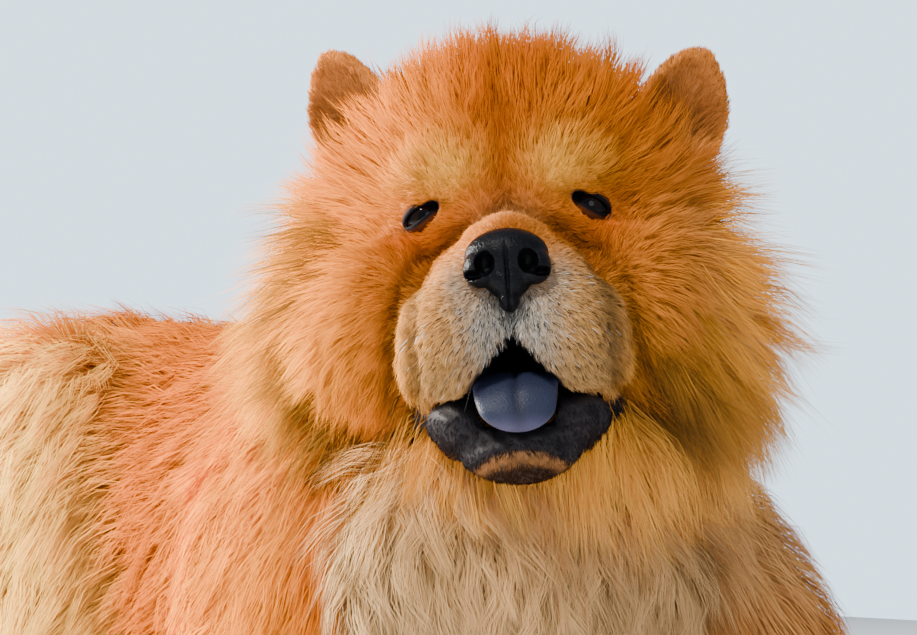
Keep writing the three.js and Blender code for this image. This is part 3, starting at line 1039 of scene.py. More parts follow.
@dataclass(frozen=True)
class Paw:
    """A round, close foot: where its heel is, which way it points and its size."""

    name: str
    heel: Array
    way: Array
    size: float
    inset: float = 4.0

    def side(self) -> Array:
        """Gives the direction across the foot."""
        return unit(np.cross(UP, self.way))

    def place(self, across: float, ahead: float, height: float) -> Array:
        """Places a point of the foot in the shared frame."""
        made = self.heel + self.side() * across + self.way * ahead
        return np.array([made[0], made[1], height])

    def toes(self) -> list[tuple[float, float]]:
        """Lists how far across and ahead each toe is."""
        steps = (-1.5, -0.5, 0.5, 1.5)
        return [(s * self.size * 0.44, self.size * (0.98 if abs(s) < 1 else 0.74)) for s in steps]

    def balls(self) -> list[tuple[Array, tuple[float, ...]]]:
        """Lists the middle and half sizes of the pad and toes.

        Returns:
            The pad first, then the toes.
        """
        size, inset = self.size, self.inset
        made = [(self.place(0, size * 0.3, size * 0.5), (size * 0.84, size * 0.9, size * 0.66))]
        for across, ahead in self.toes():
            made.append((self.place(across, ahead, size * 0.36), (size * 0.3, size * 0.46, size * 0.4)))
        return [(middle, tuple(h - inset * 0.7 for h in half)) for middle, half in made]


def paws() -> list[Paw]:
    """Lists the four feet.

    Returns:
        The feet.
    """
    made = []
    for side in SIDES:
        ahead, out = FOREARM_PATH[side][2]
        heel = SHOULDERS.world((side * (out - 2), ahead + 18, 0))
        made.append(Paw(f"fore_paw_{side}", heel, SHOULDERS.axes[1], 43))
        made.append(Paw(f"hind_paw_{side}", HIPS.world((side * 158, 88, 0)), HIPS.axes[1], 40))
    return made


@dataclass
class Body:
    """The skin of the trunk, neck, legs, feet and tail, and how the hair grows on it."""

    paw_hair: Hair = Hair(length=9, lift=24, fall=4, width=0.8)
    voxel: float = 6.0
    paw_voxel: float = 2.6
    neighbours: int = 5
    calm_rounds: int = 50
    tail_root: Triple = (-34, 296, 290)
    lofts: list[Loft] = field(default_factory=body_lofts)
    paws: list[Paw] = field(default_factory=paws)

    def build(self) -> bpy.types.Object:
        """Builds the fused skin with its growth stored.

        Returns:
            The skin of the body.
        """
        bodies = []
        for loft in self.lofts:
            ball = add_ball(loft.name, 48, 40)
            points, _, _ = loft.shape(points_of(ball))
            place_points(ball, points * MM)
            face_out(ball)
            bodies.append(ball)
        body = join(bodies, "body_skin")
        self.keep_off_floor(body)
        fuse(body, self.voxel, 12)
        feet = []
        for paw in self.paws:
            axes = np.array([paw.side(), paw.way, UP])
            feet += [add_oval(paw.name, middle, half, axes, 24) for middle, half in paw.balls()]
        foot = join(feet, "feet")
        self.keep_off_floor(foot)
        fuse(foot, self.paw_voxel, 2)
        body = join([body, foot], "body_skin")
        self.keep_off_floor(body)
        self.growth(body).store(body)
        return body

    def keep_off_floor(self, piece: bpy.types.Object) -> None:
        """Flattens what would reach into the floor.

        Args:
            piece: The piece to flatten.
        """
        points = points_of(piece)
        points[:, 2] = np.maximum(points[:, 2], FLOOR_CLEARANCE * MM)
        place_points(piece, points)

    def samples(self) -> tuple[Array, Array, Array, Array]:
        """Reads the lofts' skins as places, lies, hair numbers and regions.

        Returns:
            Those four, one row for each point.
        """
        round_it = np.linspace(0, 2 * math.pi, 28, endpoint=False)
        t, angle = np.meshgrid(np.linspace(0.01, 0.99, 30), round_it)
        t, angle = t.ravel(), angle.ravel()
        swell = np.minimum(1, np.sin(np.clip(np.minimum(t, 1 - t) / 0.08, 0, 1) * math.pi / 2))
        places, lies, numbers, regions = [], [], [], []
        for loft in self.lofts:
            point, out, along = loft.skin(t, angle, swell)
            flow = loft.flow(along, out, point - HEAD.origin)
            places.append(point)
            lies.append(np.broadcast_to(flow, point.shape))
            numbers.append(np.tile(loft.hair.numbers(), (len(point), 1)))
            regions.append(np.full(len(point), loft.region.value))
        for paw in self.paws:
            for middle, half in paw.balls():
                way = unit(np.random.default_rng(3).normal(size=(120, 3)))
                axes = np.array([paw.side(), paw.way, UP])
                places.append((way * half) @ axes + middle)
                lies.append(np.tile(unit(paw.way + DOWN * 0.35), (len(way), 1)))
                numbers.append(np.tile(self.paw_hair.numbers(), (len(way), 1)))
                regions.append(np.full(len(way), Region.LEGS.value))
        return np.vstack(places), np.vstack(lies), np.vstack(numbers), np.concatenate(regions)

    def growth(self, body: bpy.types.Object) -> Growth:
        """Works out the hair at each point from the nearest lofts.

        Args:
            body: The fused skin.

        Returns:
            The growth at its points.
        """
        places, lies, numbers, regions = self.samples()
        tree = KDTree(len(places))
        for i, place in enumerate(places):
            tree.insert(place, i)
        tree.balance()
        points, normals = points_of(body) / MM, normals_of(body)
        near = np.empty((len(points), self.neighbours), dtype=int)
        weight = np.empty((len(points), self.neighbours))
        for row, point in enumerate(points):
            for column, (_, index, gap) in enumerate(tree.find_n(point, self.neighbours)):
                near[row, column] = index
                weight[row, column] = 1.0 / (gap * gap + 9.0)
        weight /= weight.sum(axis=1, keepdims=True)
        lie = (lies[near] * weight[:, :, None]).sum(axis=1)
        hair = (numbers[near] * weight[:, :, None]).sum(axis=1)
        palette = np.array([REGION_TINTS[Region(number)] for number in range(len(REGION_TINTS))])
        base = (palette[regions[near]] * weight[:, :, None]).sum(axis=1)
        lie, hair, base = self.calm(body, [lie, hair, base])
        lie = lie - normals * (lie * normals).sum(axis=1, keepdims=True)
        length = hair[:, 0].copy()
        under = ease(-normals[:, 2], 0.75, 0.95) * ease(-points[:, 2], -30, -6)
        room = np.clip((points[:, 2] + 14) / 60, 0.25, 1)
        local = HEAD.local(points)
        deep = SKULL.field(local)
        hidden = 1 - ease(deep, -4, 6)
        bare = (deep < -34) | (deep < 2) & (local[:, 1] > -128)
        density = (1 - under) * np.clip(54 / np.maximum(length, 8), 0.8, 3.5) * ~bare
        croup = np.exp(-(((points - self.tail_root) / (70, 70, 60)) ** 2).sum(axis=1))
        length = length * (1 - 0.5 * croup)
        tint = paint(points, base, BODY_SPOTS)
        throat = (hidden * ease(local[:, 1], -150, -120))[:, None]
        tint = tint * (1 - throat) + BLACK_SKIN * throat
        return Growth(
            lie=unit(lie),
            length=length * room,
            lift=hair[:, 1],
            fall=hair[:, 2],
            width=hair[:, 3],
            wave=hair[:, 4],
            density=density,
            region=regions[near[:, 0]],
            tint=tint,
            wet=np.zeros(len(points)),
        )

    def calm(self, body: bpy.types.Object, fields: list[Array]) -> list[Array]:
        """Spreads values to neighbouring points, so that no border shows.

        Args:
            body: The skin whose edges join neighbours.
            fields: Rows of values for each point.

        Returns:
            The smoothed rows.
        """
        count = len(body.data.vertices)
        edges = np.empty(len(body.data.edges) * 2, dtype=int)
        body.data.edges.foreach_get("vertices", edges)
        first, second = edges.reshape(-1, 2).T
        links = np.bincount(first, minlength=count) + np.bincount(second, minlength=count)
        links = np.maximum(links, 1)[:, None]
        made = []
        for rows in fields:
            for _ in range(self.calm_rounds):
                total = np.zeros_like(rows)
                for column in range(rows.shape[1]):
                    total[:, column] += np.bincount(first, rows[second, column], count)
                    total[:, column] += np.bincount(second, rows[first, column], count)
                rows = 0.3 * rows + 0.7 * total / links
            made.append(rows)
        return made


@dataclass
class Face:
    """The skin of the head with its ears, lids, folds and lips, and how the hair grows on it."""

    gape_top: float = -35.0
    gape_half: float = 38.0
    gape_low: float = -78.0
    hollow: Oval = ((0.0, -62.0, -70.0), (44.0, 40.0, 25.0))
    socket_half: Triple = (12.2, 13.0, 4.5)
    socket_sunk: float = 5.0
    nose_root: Triple = (0.0, -8.0, 2.0)

    def coat_depth(self, local: Array) -> Array:
        """Says how far the skin lies inside the coat's surface."""
        reach = np.linalg.norm(local - self.nose_root, axis=1)
        return 1.6 + 2.6 * ease(reach, 45, 80) + 9 * ease(reach, 88, 140)

    def build(self) -> bpy.types.Object:
        """Builds the head's skin with its growth stored.

        Returns:
            The skin of the head.
        """
        head = add_ball("head_skin", 160, 128)
        ways = points_of(head)
        reach = SKULL.reach(ways)
        local = SKULL.heart + ways * reach[:, None]
        local = SKULL.heart + ways * (reach - self.coat_depth(local))[:, None]
        place_points(head, HEAD.world(local) * MM)
        face_out(head)
        head = join([head, *(self.ear_body(side) for side in SIDES)], "head_skin")
        fuse(head, 2.4, 0)
        carve(head, self.gape_cutter())
        middle, half = self.hollow
        carve(head, add_oval("hollow", HEAD.world(middle), half, HEAD.axes, 40))
        for side in SIDES:
            axes = HEAD.turn(SKULL.eye_axes(side))
            middle = HEAD.world(SKULL.eye(side, self.socket_sunk))
            carve(head, add_oval("socket", middle, self.socket_half, axes, 32))
        fuse(head, 1.8, 3)
        self.fold(head)
        self.growth(head).store(head)
        return head

    def ear_body(self, side: int) -> bpy.types.Object:
        """Builds one ear with its cup.

        Args:
            side: 1 for the dog's left and -1 for its right.

        Returns:
            The ear.
        """
        ear = EARS[side]
        ball = add_ball("ear", 48, 36)
        shape = points_of(ball)
        rim = np.hypot(shape[:, 0], shape[:, 2])
        front = shape[:, 1] > 0
        cup = np.clip(1 - (rim / 0.86) ** 3, 0, 1)
        shape[front, 1] = shape[front, 1] * 0.5 - 0.85 * cup[front]
        shape[:, 1] = np.where(front, shape[:, 1] + 0.35, shape[:, 1])
        shape[:, 0] *= 1.0 - 0.24 * shape[:, 2]
        thin = np.array(ear.half) * (0.9, 0.8, 0.9)
        local = (shape * thin) @ ear.axes() + ear.middle
        place_points(ball, HEAD.world(local) * MM)
        face_out(ball)
        return ball

    def gape_cutter(self) -> bpy.types.Object:
        """Builds the wedge that parts the upper lip.

        Returns:
            The wedge.
        """
        deselect()
        bpy.ops.mesh.primitive_cylinder_add(vertices=3, radius=1, depth=2, location=(0, 0, 0))
        wedge = bpy.context.object
        shape = points_of(wedge)
        angle = np.round(np.degrees(np.arctan2(shape[:, 1], shape[:, 0])) / 120).astype(int) % 3
        order = {value: rank for rank, value in enumerate(np.unique(angle))}
        half, low = self.gape_half, self.gape_low
        corners = np.array([(0, self.gape_top), (-half, low), (half, low)])
        flat = corners[[order[a] for a in angle]]
        depth = np.where(shape[:, 2] > 0, 14.0, -70.0)
        local = np.stack([flat[:, 0], depth, flat[:, 1]], axis=1)
        place_points(wedge, HEAD.world(local) * MM)
        face_out(wedge)
        finish_with(wedge, "BEVEL", width=5 * MM, segments=3)
        return wedge

    def fold(self, head: bpy.types.Object) -> None:
        """Presses the folds into the skin.

        Args:
            head: The head's skin.
        """
        points, normals = points_of(head) / MM, normals_of(head)
        local = HEAD.local(points)
        sunk = sum(groove.depth * groove.share(local) for groove in FOLDS)
        place_points(head, (points - normals * sunk[:, None]) * MM)

    def lip(self, local: Array) -> Array:
        """Says how much each point belongs to the black lips and the mouth, 0 to 1.

        Args:
            local: Points in the head's coordinates.

        Returns:
            One share for each point.
        """
        slope = (self.gape_top - self.gape_low) / self.gape_half
        lower = self.gape_top - slope * np.abs(local[:, 0]) - local[:, 2]
        wedge = -lower / math.hypot(1, slope)
        wedge = np.where((local[:, 2] > self.gape_low - 4) & (local[:, 1] > -74), wedge, 50)
        middle, half = (np.array(v) for v in self.hollow)
        inner = (local - middle) / half
        hollow = (np.linalg.norm(inner, axis=1) - 1) * half.min()
        return 1 - ease(np.minimum(wedge, hollow), 0.6, 3.2)

    def eye_gap(self, local: Array) -> Array:
        """Gives the distance from the nearer eye's opening.

        Args:
            local: Points in the head's coordinates.

        Returns:
            One distance for each point, in millimetres.
        """
        gaps = []
        for side in SIDES:
            inner = ((local - SKULL.eye(side, self.socket_sunk)) @ SKULL.eye_axes(side).T) / self.socket_half
            gaps.append((np.linalg.norm(inner, axis=1) - 1) * 7.0)
        return np.minimum(*gaps)

    def growth(self, head: bpy.types.Object) -> Growth:
        """Works out the hair at each point of the head.

        Args:
            head: The head's skin.

        Returns:
            The growth at its points.
        """
        points, normals = points_of(head) / MM, normals_of(head)
        local = HEAD.local(points)
        reach = np.linalg.norm(local - self.nose_root, axis=1)
        side = np.abs(local[:, 0])
        lip, eye = self.lip(local), self.eye_gap(local)
        near_eye = 1 - ease(eye, 3, 20)
        top = 1 - 0.3 * ease(local[:, 2], 24, 76)
        jowl = ease(side, 40, 56) * ease(-local[:, 2], 44, 64)
        length = 5.0 + 2.2 * ease(reach, 26, 62) + 7 * ease(reach, 66, 94)
        length = length + (15 * ease(reach, 88, 116) + 36 * ease(reach, 106, 150)) * top
        length = (length + 14 * jowl) * (1 - 0.7 * near_eye)
        lift = 32 + 4 * ease(reach, 55, 100) + 22 * ease(reach, 104, 150)
        fall = lift - 24 - 12 * ease(reach, 90, 150)
        width = 0.4 + 0.1 * ease(reach, 55, 100) + 0.16 * ease(reach, 100, 150)
        way = unit(local - self.nose_root)
        way[:, 2] += 0.35 * ease(local[:, 2], 30, 70)
        way[:, 2] -= 0.6 * ease(side, 52, 90) * ease(-local[:, 2], -40, 10)
        way[:, 2] -= 0.9 * ease(-local[:, 2], 30, 80) * ease(reach, 80, 120) + 0.6 * jowl
        way[:, 1] -= 0.2
        lie = HEAD.turn(way)
        density = 1.0 + 2.6 * (1 - ease(reach, 60, 120))
        density *= (lip < 0.35) * (eye > 0.7)
        tint = paint(local, ORANGE, FACE_SPOTS)
        # Painted shade: the coat darker inside the face's folds, less so on the forehead.
        painted_crease_shade = np.max([g.share(local) for g in FOLDS], axis=0)[:, None]
        painted_crease_shade = painted_crease_shade * (1 - 0.7 * ease(local[:, 2], 36, 50))[:, None]
        tint = tint * (1 - 0.62 * painted_crease_shade)
        cheek = (side > 62) & (local[:, 2] < 58) | (local[:, 2] < 0)
        outer = np.where(cheek, Region.CHEEKS.value, Region.CROWN.value)
        region = np.where((reach > 112) | (side > 84), outer, Region.FACE.value)
        wave = np.full(len(local), 0.05)
        for number, ear in EARS.items():
            own = ear.read(local)
            share = (1 - ease(np.linalg.norm(own, axis=1), 1.0, 1.25))
            cup = share * (1 - ease(np.hypot(own[:, 0], own[:, 2]), 0.55, 0.9)) * (own[:, 1] > -0.3)
            _, face, rise = HEAD.turn(ear.axes())
            ear_lie = rise + unit((points - HEAD.world(ear.middle))) * 0.5 + face * cup[:, None] * 0.3
            lie = np.where(share[:, None] > 0.3, ear_lie, lie)
            ear_length = 6 + 10 * cup * ease(-own[:, 2], -0.3, 0.5) + 12 * ease(-own[:, 2], 0.4, 0.95)
            length = length * (1 - share) + ear_length * share
            lift = lift * (1 - share) + 26 * share
            fall = fall * (1 - share) + 6 * share
            width = width * (1 - share) + 0.45 * share
            # Painted shade: the cup darker than the rim, and darkest deep down inside it.
            deep = (cup * ease(-own[:, 2], -0.75, 0.1))[:, None]
            ear_tint_and_shade = (EAR_RIM * (1 - cup)[:, None] + SHADED_EAR_CUP * cup[:, None]) * (1 - 0.45 * deep)
            tint = tint * (1 - share[:, None]) + ear_tint_and_shade * share[:, None]
            density = density * (1 - share) + 3.2 * share
        dark = np.maximum(lip, 1 - ease(eye, 0.2, 1.5))[:, None]
        tint = tint * (1 - dark) + BLACK_SKIN * dark
        lie = lie - normals * (lie * normals).sum(axis=1, keepdims=True)
        return Growth(
            lie=unit(lie),
            length=length,
            lift=lift,
            fall=fall,
            width=width,
            wave=wave,
            density=density,
            region=region,
            tint=tint,
            wet=dark[:, 0],
        )


@dataclass
class Jaw:
    """The lower jaw with its black lip and tan chin."""

    balls: tuple[Oval, ...] = (
        ((0, -52, -92), (40, 35, 17)),
        ((0, -96, -78), (56, 44, 30)),
        ((30, -58, -77), (20, 33, 18)),
        ((-30, -58, -77), (20, 33, 18)),
        ((44, -82, -68), (10, 18, 15)),
        ((-44, -82, -68), (10, 18, 15)),
    )
    hollow: Oval = ((0, -58, -72), (29, 36, 13))
    inset: float = 1.5
    voxel: float = 1.9

    def build(self) -> bpy.types.Object:
        """Builds the jaw's skin with its growth stored.

        Returns:
            The skin of the jaw.
        """
        lumps = []
        for middle, half in self.balls:
            inner = [h - self.inset for h in half]
            lumps.append(add_oval("jaw", HEAD.world(middle), inner, HEAD.axes, 40))
        jaw = join(lumps, "jaw_skin")
        fuse(jaw, 2.4, 2)
        middle, half = self.hollow
        carve(jaw, add_oval("hollow", HEAD.world(middle), half, HEAD.axes, 40))
        fuse(jaw, self.voxel, 2)
        local = HEAD.local(points_of(jaw) / MM)
        local[:, 0] *= 1 - 0.26 * ease(-local[:, 2], 70, 106)
        ripple = np.sin(0.34 * local[:, 0] + 1.3) * np.sin(0.55 * local[:, 2] + 0.2 * local[:, 0])
        local[:, 1] += 1.2 * ripple * ease(local[:, 1], -70, -40)
        place_points(jaw, HEAD.world(local) * MM)
        self.growth(jaw).store(jaw)
        return jaw

    def growth(self, jaw: bpy.types.Object) -> Growth:
        """Works out the short hair of the lower lip and chin.

        Args:
            jaw: The jaw's skin.

        Returns:
            The growth at its points.
        """
        points, normals = points_of(jaw) / MM, normals_of(jaw)
        local = HEAD.local(points)
        facing = HEAD.local(HEAD.origin + normals)
        wet = ease(facing[:, 2], 0.1, 0.7) * ease(local[:, 1], -96, -80)
        below = -92 - 8 * (local[:, 0] / 28) ** 2 - local[:, 2]
        front = ease(local[:, 1], -64, -46)[:, None]
        chin = ease(local[:, 1], -56, -40) * ease(below, 1, 3) * (1 - ease(below, 4.5, 9))
        flank = ease(np.abs(local[:, 0]), 30, 42) * ease(-local[:, 2], 80, 90)
        lip = (1 - ease(below, -1, 2)) * ease(local[:, 1], -96, -74) * (1 - flank)
        # The jaw's front takes the darker brown, as painted shadow under the jaw below the tan band.
        tint = DARK_BROWN * (1 - front) + CHIN_SHADOW_BROWN * front
        tint = tint * (1 - chin[:, None]) + CHIN * chin[:, None]
        middle, half = (np.array(v) for v in self.hollow)
        inside = np.linalg.norm((local - middle) / half, axis=1) < 1.12
        lip = np.maximum(lip, np.maximum(inside, (local[:, 2] > -84) & (local[:, 1] < -60)))
        tint = tint * (1 - lip[:, None]) + DARK_LIP * lip[:, None]
        count = len(local)
        way = np.stack([np.sign(local[:, 0]) * 0.25, np.full(count, -0.55), np.full(count, -0.8)], 1)
        lie = HEAD.turn(way)
        lie = lie - normals * (lie * normals).sum(axis=1, keepdims=True)
        back = np.maximum(1 - ease(local[:, 1], -110, -50), 0.6 * flank)
        return Growth(
            lie=unit(lie),
            length=4.6 + 16 * back,
            lift=18 + 20 * back,
            fall=np.full(count, -6.0),
            width=0.55 + 0.5 * back,
            wave=np.full(count, 0.08),
            density=(1 - wet) * (2.8 - 0.9 * lip),
            region=np.full(count, Region.FACE.value),
            tint=tint,
            wet=wet,
        )


BAKE_MAP = "OFBake"


def unwrap(piece: bpy.types.Object) -> None:
    """Lays the piece's own shape out flat as its bake map.

    Args:
        piece: The piece to unwrap.
    """
    while piece.data.uv_layers:
        piece.data.uv_layers.remove(piece.data.uv_layers[0])
    piece.data.uv_layers.new(name=BAKE_MAP)
    deselect()
    piece.select_set(True)
    bpy.context.view_layer.objects.active = piece
    bpy.ops.object.mode_set(mode="EDIT")
    bpy.ops.mesh.select_all(action="SELECT")
    bpy.ops.uv.smart_project(angle_limit=math.radians(66), island_margin=0.001)
    bpy.ops.object.mode_set(mode="OBJECT")


def smooth(piece: bpy.types.Object) -> None:
    """Shades the piece smoothly.

    Args:
        piece: The piece to shade.
    """
    deselect()
    piece.select_set(True)
    bpy.context.view_layer.objects.active = piece
    bpy.ops.object.shade_smooth()


@dataclass(frozen=True)
class Finish:
    """How a surface takes the light. Its colour is the piece's own Tint."""

    name: str
    roughness: float
    wet_roughness: float
    specular: float = 0.5
    clear: float = 0.0
    bump: float = 0.0
    grain: float = 300.0
    mottle: float = 0.0

    def material(self) -> bpy.types.Material:
        """Builds the material once and returns it.

        Returns:
            The material.
        """
        if self.name in bpy.data.materials:
            return bpy.data.materials[self.name]
        material = bpy.data.materials.new(self.name)
        material.use_nodes = True
        nodes, links = material.node_tree.nodes, material.node_tree.links
        shader = nodes["Principled BSDF"]
        shader.inputs["Specular IOR Level"].default_value = self.specular
        shader.inputs["Coat Weight"].default_value = self.clear
        shader.inputs["Coat Roughness"].default_value = 0.08
        tint = nodes.new("ShaderNodeAttribute")
        tint.attribute_name = "Tint"
        place = nodes.new("ShaderNodeTexCoord")
        noise = nodes.new("ShaderNodeTexNoise")
        noise.inputs["Scale"].default_value = self.grain
        noise.inputs["Detail"].default_value = 3.0
        links.new(place.outputs["Object"], noise.inputs["Vector"])
        shade = nodes.new("ShaderNodeMapRange")
        shade.inputs["To Min"].default_value = 1.0 - self.mottle
        shade.inputs["To Max"].default_value = 1.0 + self.mottle
        links.new(noise.outputs["Fac"], shade.inputs["Value"])
        mix = nodes.new("ShaderNodeVectorMath")
        mix.operation = "SCALE"
        links.new(tint.outputs["Color"], mix.inputs[0])
        links.new(shade.outputs["Result"], mix.inputs["Scale"])
        links.new(mix.outputs["Vector"], shader.inputs["Base Color"])
        wet = nodes.new("ShaderNodeAttribute")
        wet.attribute_name = "Wet"
        gloss = nodes.new("ShaderNodeMapRange")
        gloss.inputs["To Min"].default_value = self.roughness
        gloss.inputs["To Max"].default_value = self.wet_roughness
        links.new(wet.outputs["Fac"], gloss.inputs["Value"])
        links.new(gloss.outputs["Result"], shader.inputs["Roughness"])
        if self.bump:
            bump = nodes.new("ShaderNodeBump")
            bump.inputs["Strength"].default_value = self.bump
            bump.inputs["Distance"].default_value = 0.6 * MM
            links.new(noise.outputs["Fac"], bump.inputs["Height"])
            links.new(bump.outputs["Normal"], shader.inputs["Normal"])
        return material


FUR = Finish("fur", 0.75, 0.75, specular=0.01)
SKIN = Finish("skin_under_fur", 0.8, 0.5, specular=0.2, bump=0.6, grain=700, mottle=0.2)
NOSE_LEATHER = Finish("nose_leather", 0.3, 0.22, specular=0.09, bump=0.9, grain=900, mottle=0.15)
TONGUE_FLESH = Finish("tongue_flesh", 0.45, 0.34, specular=0.2, bump=0.7, grain=1100, mottle=0.12)
LIP_LEATHER = Finish("lip_leather", 0.45, 0.36, specular=0.12, bump=0.8, grain=600, mottle=0.2)
LID_SKIN = Finish("lid_skin", 0.75, 0.6, specular=0.06, bump=0.5, grain=900, mottle=0.2)
EYE_GLASS = Finish("eye_surface", 0.08, 0.06, specular=0.14)
CLAW_HORN = Finish("claw_horn", 0.35, 0.3, clear=0.2, bump=0.2, grain=300, mottle=0.2)
WHISKER = Finish("whisker", 0.4, 0.4)


def dress(piece: bpy.types.Object, finish: Finish) -> None:
    """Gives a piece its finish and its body.

    Args:
        piece: The piece.
        finish: Its finish.
    """
    piece.data.materials.clear()
    piece.data.materials.append(finish.material())
    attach(piece, "root")


def tint_piece(piece: bpy.types.Object, tints: Array, wet: float = 0.0) -> None:
    """Writes the colour and wetness of a small piece."""
    write_attribute(piece, "Tint", "FLOAT_COLOR", np.broadcast_to(tints, (len(piece.data.vertices), 3)))
    write_attribute(piece, "Wet", "FLOAT", np.full(len(piece.data.vertices), wet))


@dataclass(frozen=True)
class CoatPart:
    """One piece of coat: the stretch that it covers, how many tufts and its slot."""

    name: str
    region: Region
    tufts: int
    slot: str
    pull: float = 0.35
    clump: int = 12
    rows: int = 3
    root_shade: float = 0.62


COAT_PARTS = (
    CoatPart("coat_face", Region.FACE, 62000, "coat", 0.25, 9, 2, 0.5),
    CoatPart("coat_crown", Region.CROWN, 30000, "coat", 0.4, 14),
    CoatPart("coat_cheeks", Region.CHEEKS, 33000, "mane", 0.45, 18),
    CoatPart("mane_under", Region.MANE, 26000, "mane", 0.4, 18),
    CoatPart("mane_top", Region.MANE, 39000, "mane", 0.6, 24),
    CoatPart("bib_curls", Region.BIB, 36000, "bib", 0.6, 26),
    CoatPart("coat_trunk", Region.TRUNK, 58000, "coat", 0.4, 18, 2),
    CoatPart("coat_legs", Region.LEGS, 50000, "coat", 0.3, 14, 2),
    CoatPart("coat_haunches", Region.HAUNCH, 30000, "coat", 0.5, 20, 2),
    CoatPart("tail_plume", Region.TAIL, 18000, "tail", 0.5, 18),
)


@dataclass
class Coat:
    """Tufts of hair over the skin, each a thin tapered blade that bends along the lie of the coat."""

    skin: bpy.types.Object
    patch: float = 0.003
    sunk: float = 0.09
    deepest: float = 1.0
    stray: float = 0.1
    lowest: float = 1.0
    highest: float = 474.0
    eye_clear: tuple[float, float] = (10.4, 3.6)

    def __post_init__(self) -> None:
        """Reads the skin's triangles, growth and bake map."""
        skin = self.skin
        mesh = skin.data
        mesh.calc_loop_triangles()
        count = len(mesh.loop_triangles)
        corners = np.empty(count * 3, dtype=np.int32)
        mesh.loop_triangles.foreach_get("vertices", corners)
        loops = np.empty(count * 3, dtype=np.int32)
        mesh.loop_triangles.foreach_get("loops", loops)
        flat = np.empty(len(mesh.loops) * 2, dtype=np.float32)
        mesh.uv_layers[BAKE_MAP].uv.foreach_get("vector", flat)
        self.corners = corners.reshape(-1, 3)
        self.bake = flat.reshape(-1, 2)[loops].reshape(-1, 3, 2)
        self.points = points_of(skin) / MM
        self.normals = normals_of(skin)
        self.lie = read_attribute(skin, "lie", 3)
        self.growth = read_attribute(skin, "growth", 3)
        self.form = read_attribute(skin, "form", 3)
        self.tint = read_attribute(skin, "Tint", 4)[:, :3]
        region = read_attribute(skin, "region", 1)
        self.region = region[self.corners[:, 0]]
        a, b, c = (self.points[self.corners[:, k]] for k in range(3))
        area = np.linalg.norm(np.cross(b - a, c - a), axis=1) / 2
        self.share = area * self.form[self.corners, 2].mean(axis=1)

    def grow(self, part: CoatPart, rng: np.random.Generator) -> bpy.types.Object:
        """Grows one piece of coat.

        Args:
            part: What to grow and where.
            rng: The seeded source of chance.

        Returns:
            The piece.
        """
        weight = self.share * (self.region == part.region.value)
        pick = rng.choice(len(weight), part.tufts, p=weight / weight.sum())
        even = rng.random((part.tufts, 2))
        even = np.where(even.sum(axis=1, keepdims=True) > 1, 1 - even, even)
        mix = np.stack([1 - even.sum(axis=1), even[:, 0], even[:, 1]], axis=1)[:, :, None]
        corner = self.corners[pick]
        root = (self.points[corner] * mix).sum(axis=1)
        normal = unit((self.normals[corner] * mix).sum(axis=1))
        lie = (self.lie[corner] * mix).sum(axis=1)
        lie = unit(lie - normal * (lie * normal).sum(axis=1, keepdims=True))
        length, lift, fall = (self.growth[corner] * mix).sum(axis=1).T
        width, wave, _ = (self.form[corner] * mix).sum(axis=1).T
        tint = (self.tint[corner] * mix).sum(axis=1)
        bake = (self.bake[pick] * mix).sum(axis=1)
        lead = self.leaders(root, part, rng)
        own, shared = rng.normal(size=(5, part.tufts)), rng.normal(size=(5, part.tufts))[:, lead]
        noise = 0.6 * own + 0.75 * shared
        length = length * np.clip(1 + 0.14 * noise[0], 0.55, 1.4)
        lift, fall = np.radians(lift + 6 * noise[1]), np.radians(fall + 9 * noise[2])
        turn = np.radians(9) * noise[3]
        side = np.cross(normal, lie)
        way = lie * np.cos(turn)[:, None] + side * np.sin(turn)[:, None]
        side = np.cross(normal, way)
        phase = rng.random(part.tufts)[lead] * 6.28 + own[4] * 0.3
        stray = rng.random(part.tufts) < self.stray
        lift = lift + np.radians(12) * stray
        width = width * np.where(stray, 0.6, 1.0)
        spine = [root - normal * np.minimum(self.sunk * length, self.deepest)[:, None]]
        for number in range(part.rows):
            share = number / (part.rows - 1)
            angle = lift + (fall - lift) * share
            sway = wave * np.sin(phase + 2.6 * number) * 3
            ahead = way * np.cos(angle)[:, None] + normal * np.sin(angle)[:, None] + side * sway[:, None]
            spine.append(spine[-1] + unit(ahead) * (length / part.rows)[:, None])
        spine = np.stack(spine, axis=1)
        reach = np.linspace(0, 1, part.rows + 1)[None, :, None] ** 1.5
        pull = part.pull * np.where(stray, 0.3, 1.0)[:, None, None]
        spine = spine + pull * reach * (spine[lead] - spine)
        spine = self.clear_eyes(spine)
        spine[:, :, 2] = np.clip(spine[:, :, 2], self.lowest, self.highest)
        colours = self.colours(part, tint, root, noise, rng)
        return self.weave(part, spine, normal, width, colours, bake, rng)

    def clear_eyes(self, spine: Array) -> Array:
        """Shortens the tufts that would hang over an eye.

        Args:
            spine: Places along each tuft, from its root to its tip.

        Returns:
            The places, shortened where they would hide an eye.
        """
        local = HEAD.local(spine)
        over = np.zeros(len(spine), dtype=bool)
        for side in SIDES:
            own = (local - SKULL.eye(side, 0)) @ SKULL.eye_axes(side).T
            across, up = self.eye_clear
            near = (own[..., 0] / across) ** 2 + (own[..., 2] / up) ** 2 < 1
            over |= (near & (np.abs(own[..., 1]) < 25)).any(axis=1)
        root = spine[:, :1]
        return np.where(over[:, None, None], root + (spine - root) * 0.16, spine)

    def leaders(self, root: Array, part: CoatPart, rng: np.random.Generator) -> Array:
        """Finds for each tuft the tuft that leads its clump.

        Args:
            root: The roots.
            part: The piece to grow.
            rng: The seeded source of chance.

        Returns:
            The number of the leading tuft, for each tuft.
        """
        chosen = rng.choice(len(root), len(root) // part.clump, replace=False)
        tree = KDTree(len(chosen))
        for index in chosen:
            tree.insert(root[index], int(index))
        tree.balance()
        return np.array([tree.find(place)[1] for place in root])

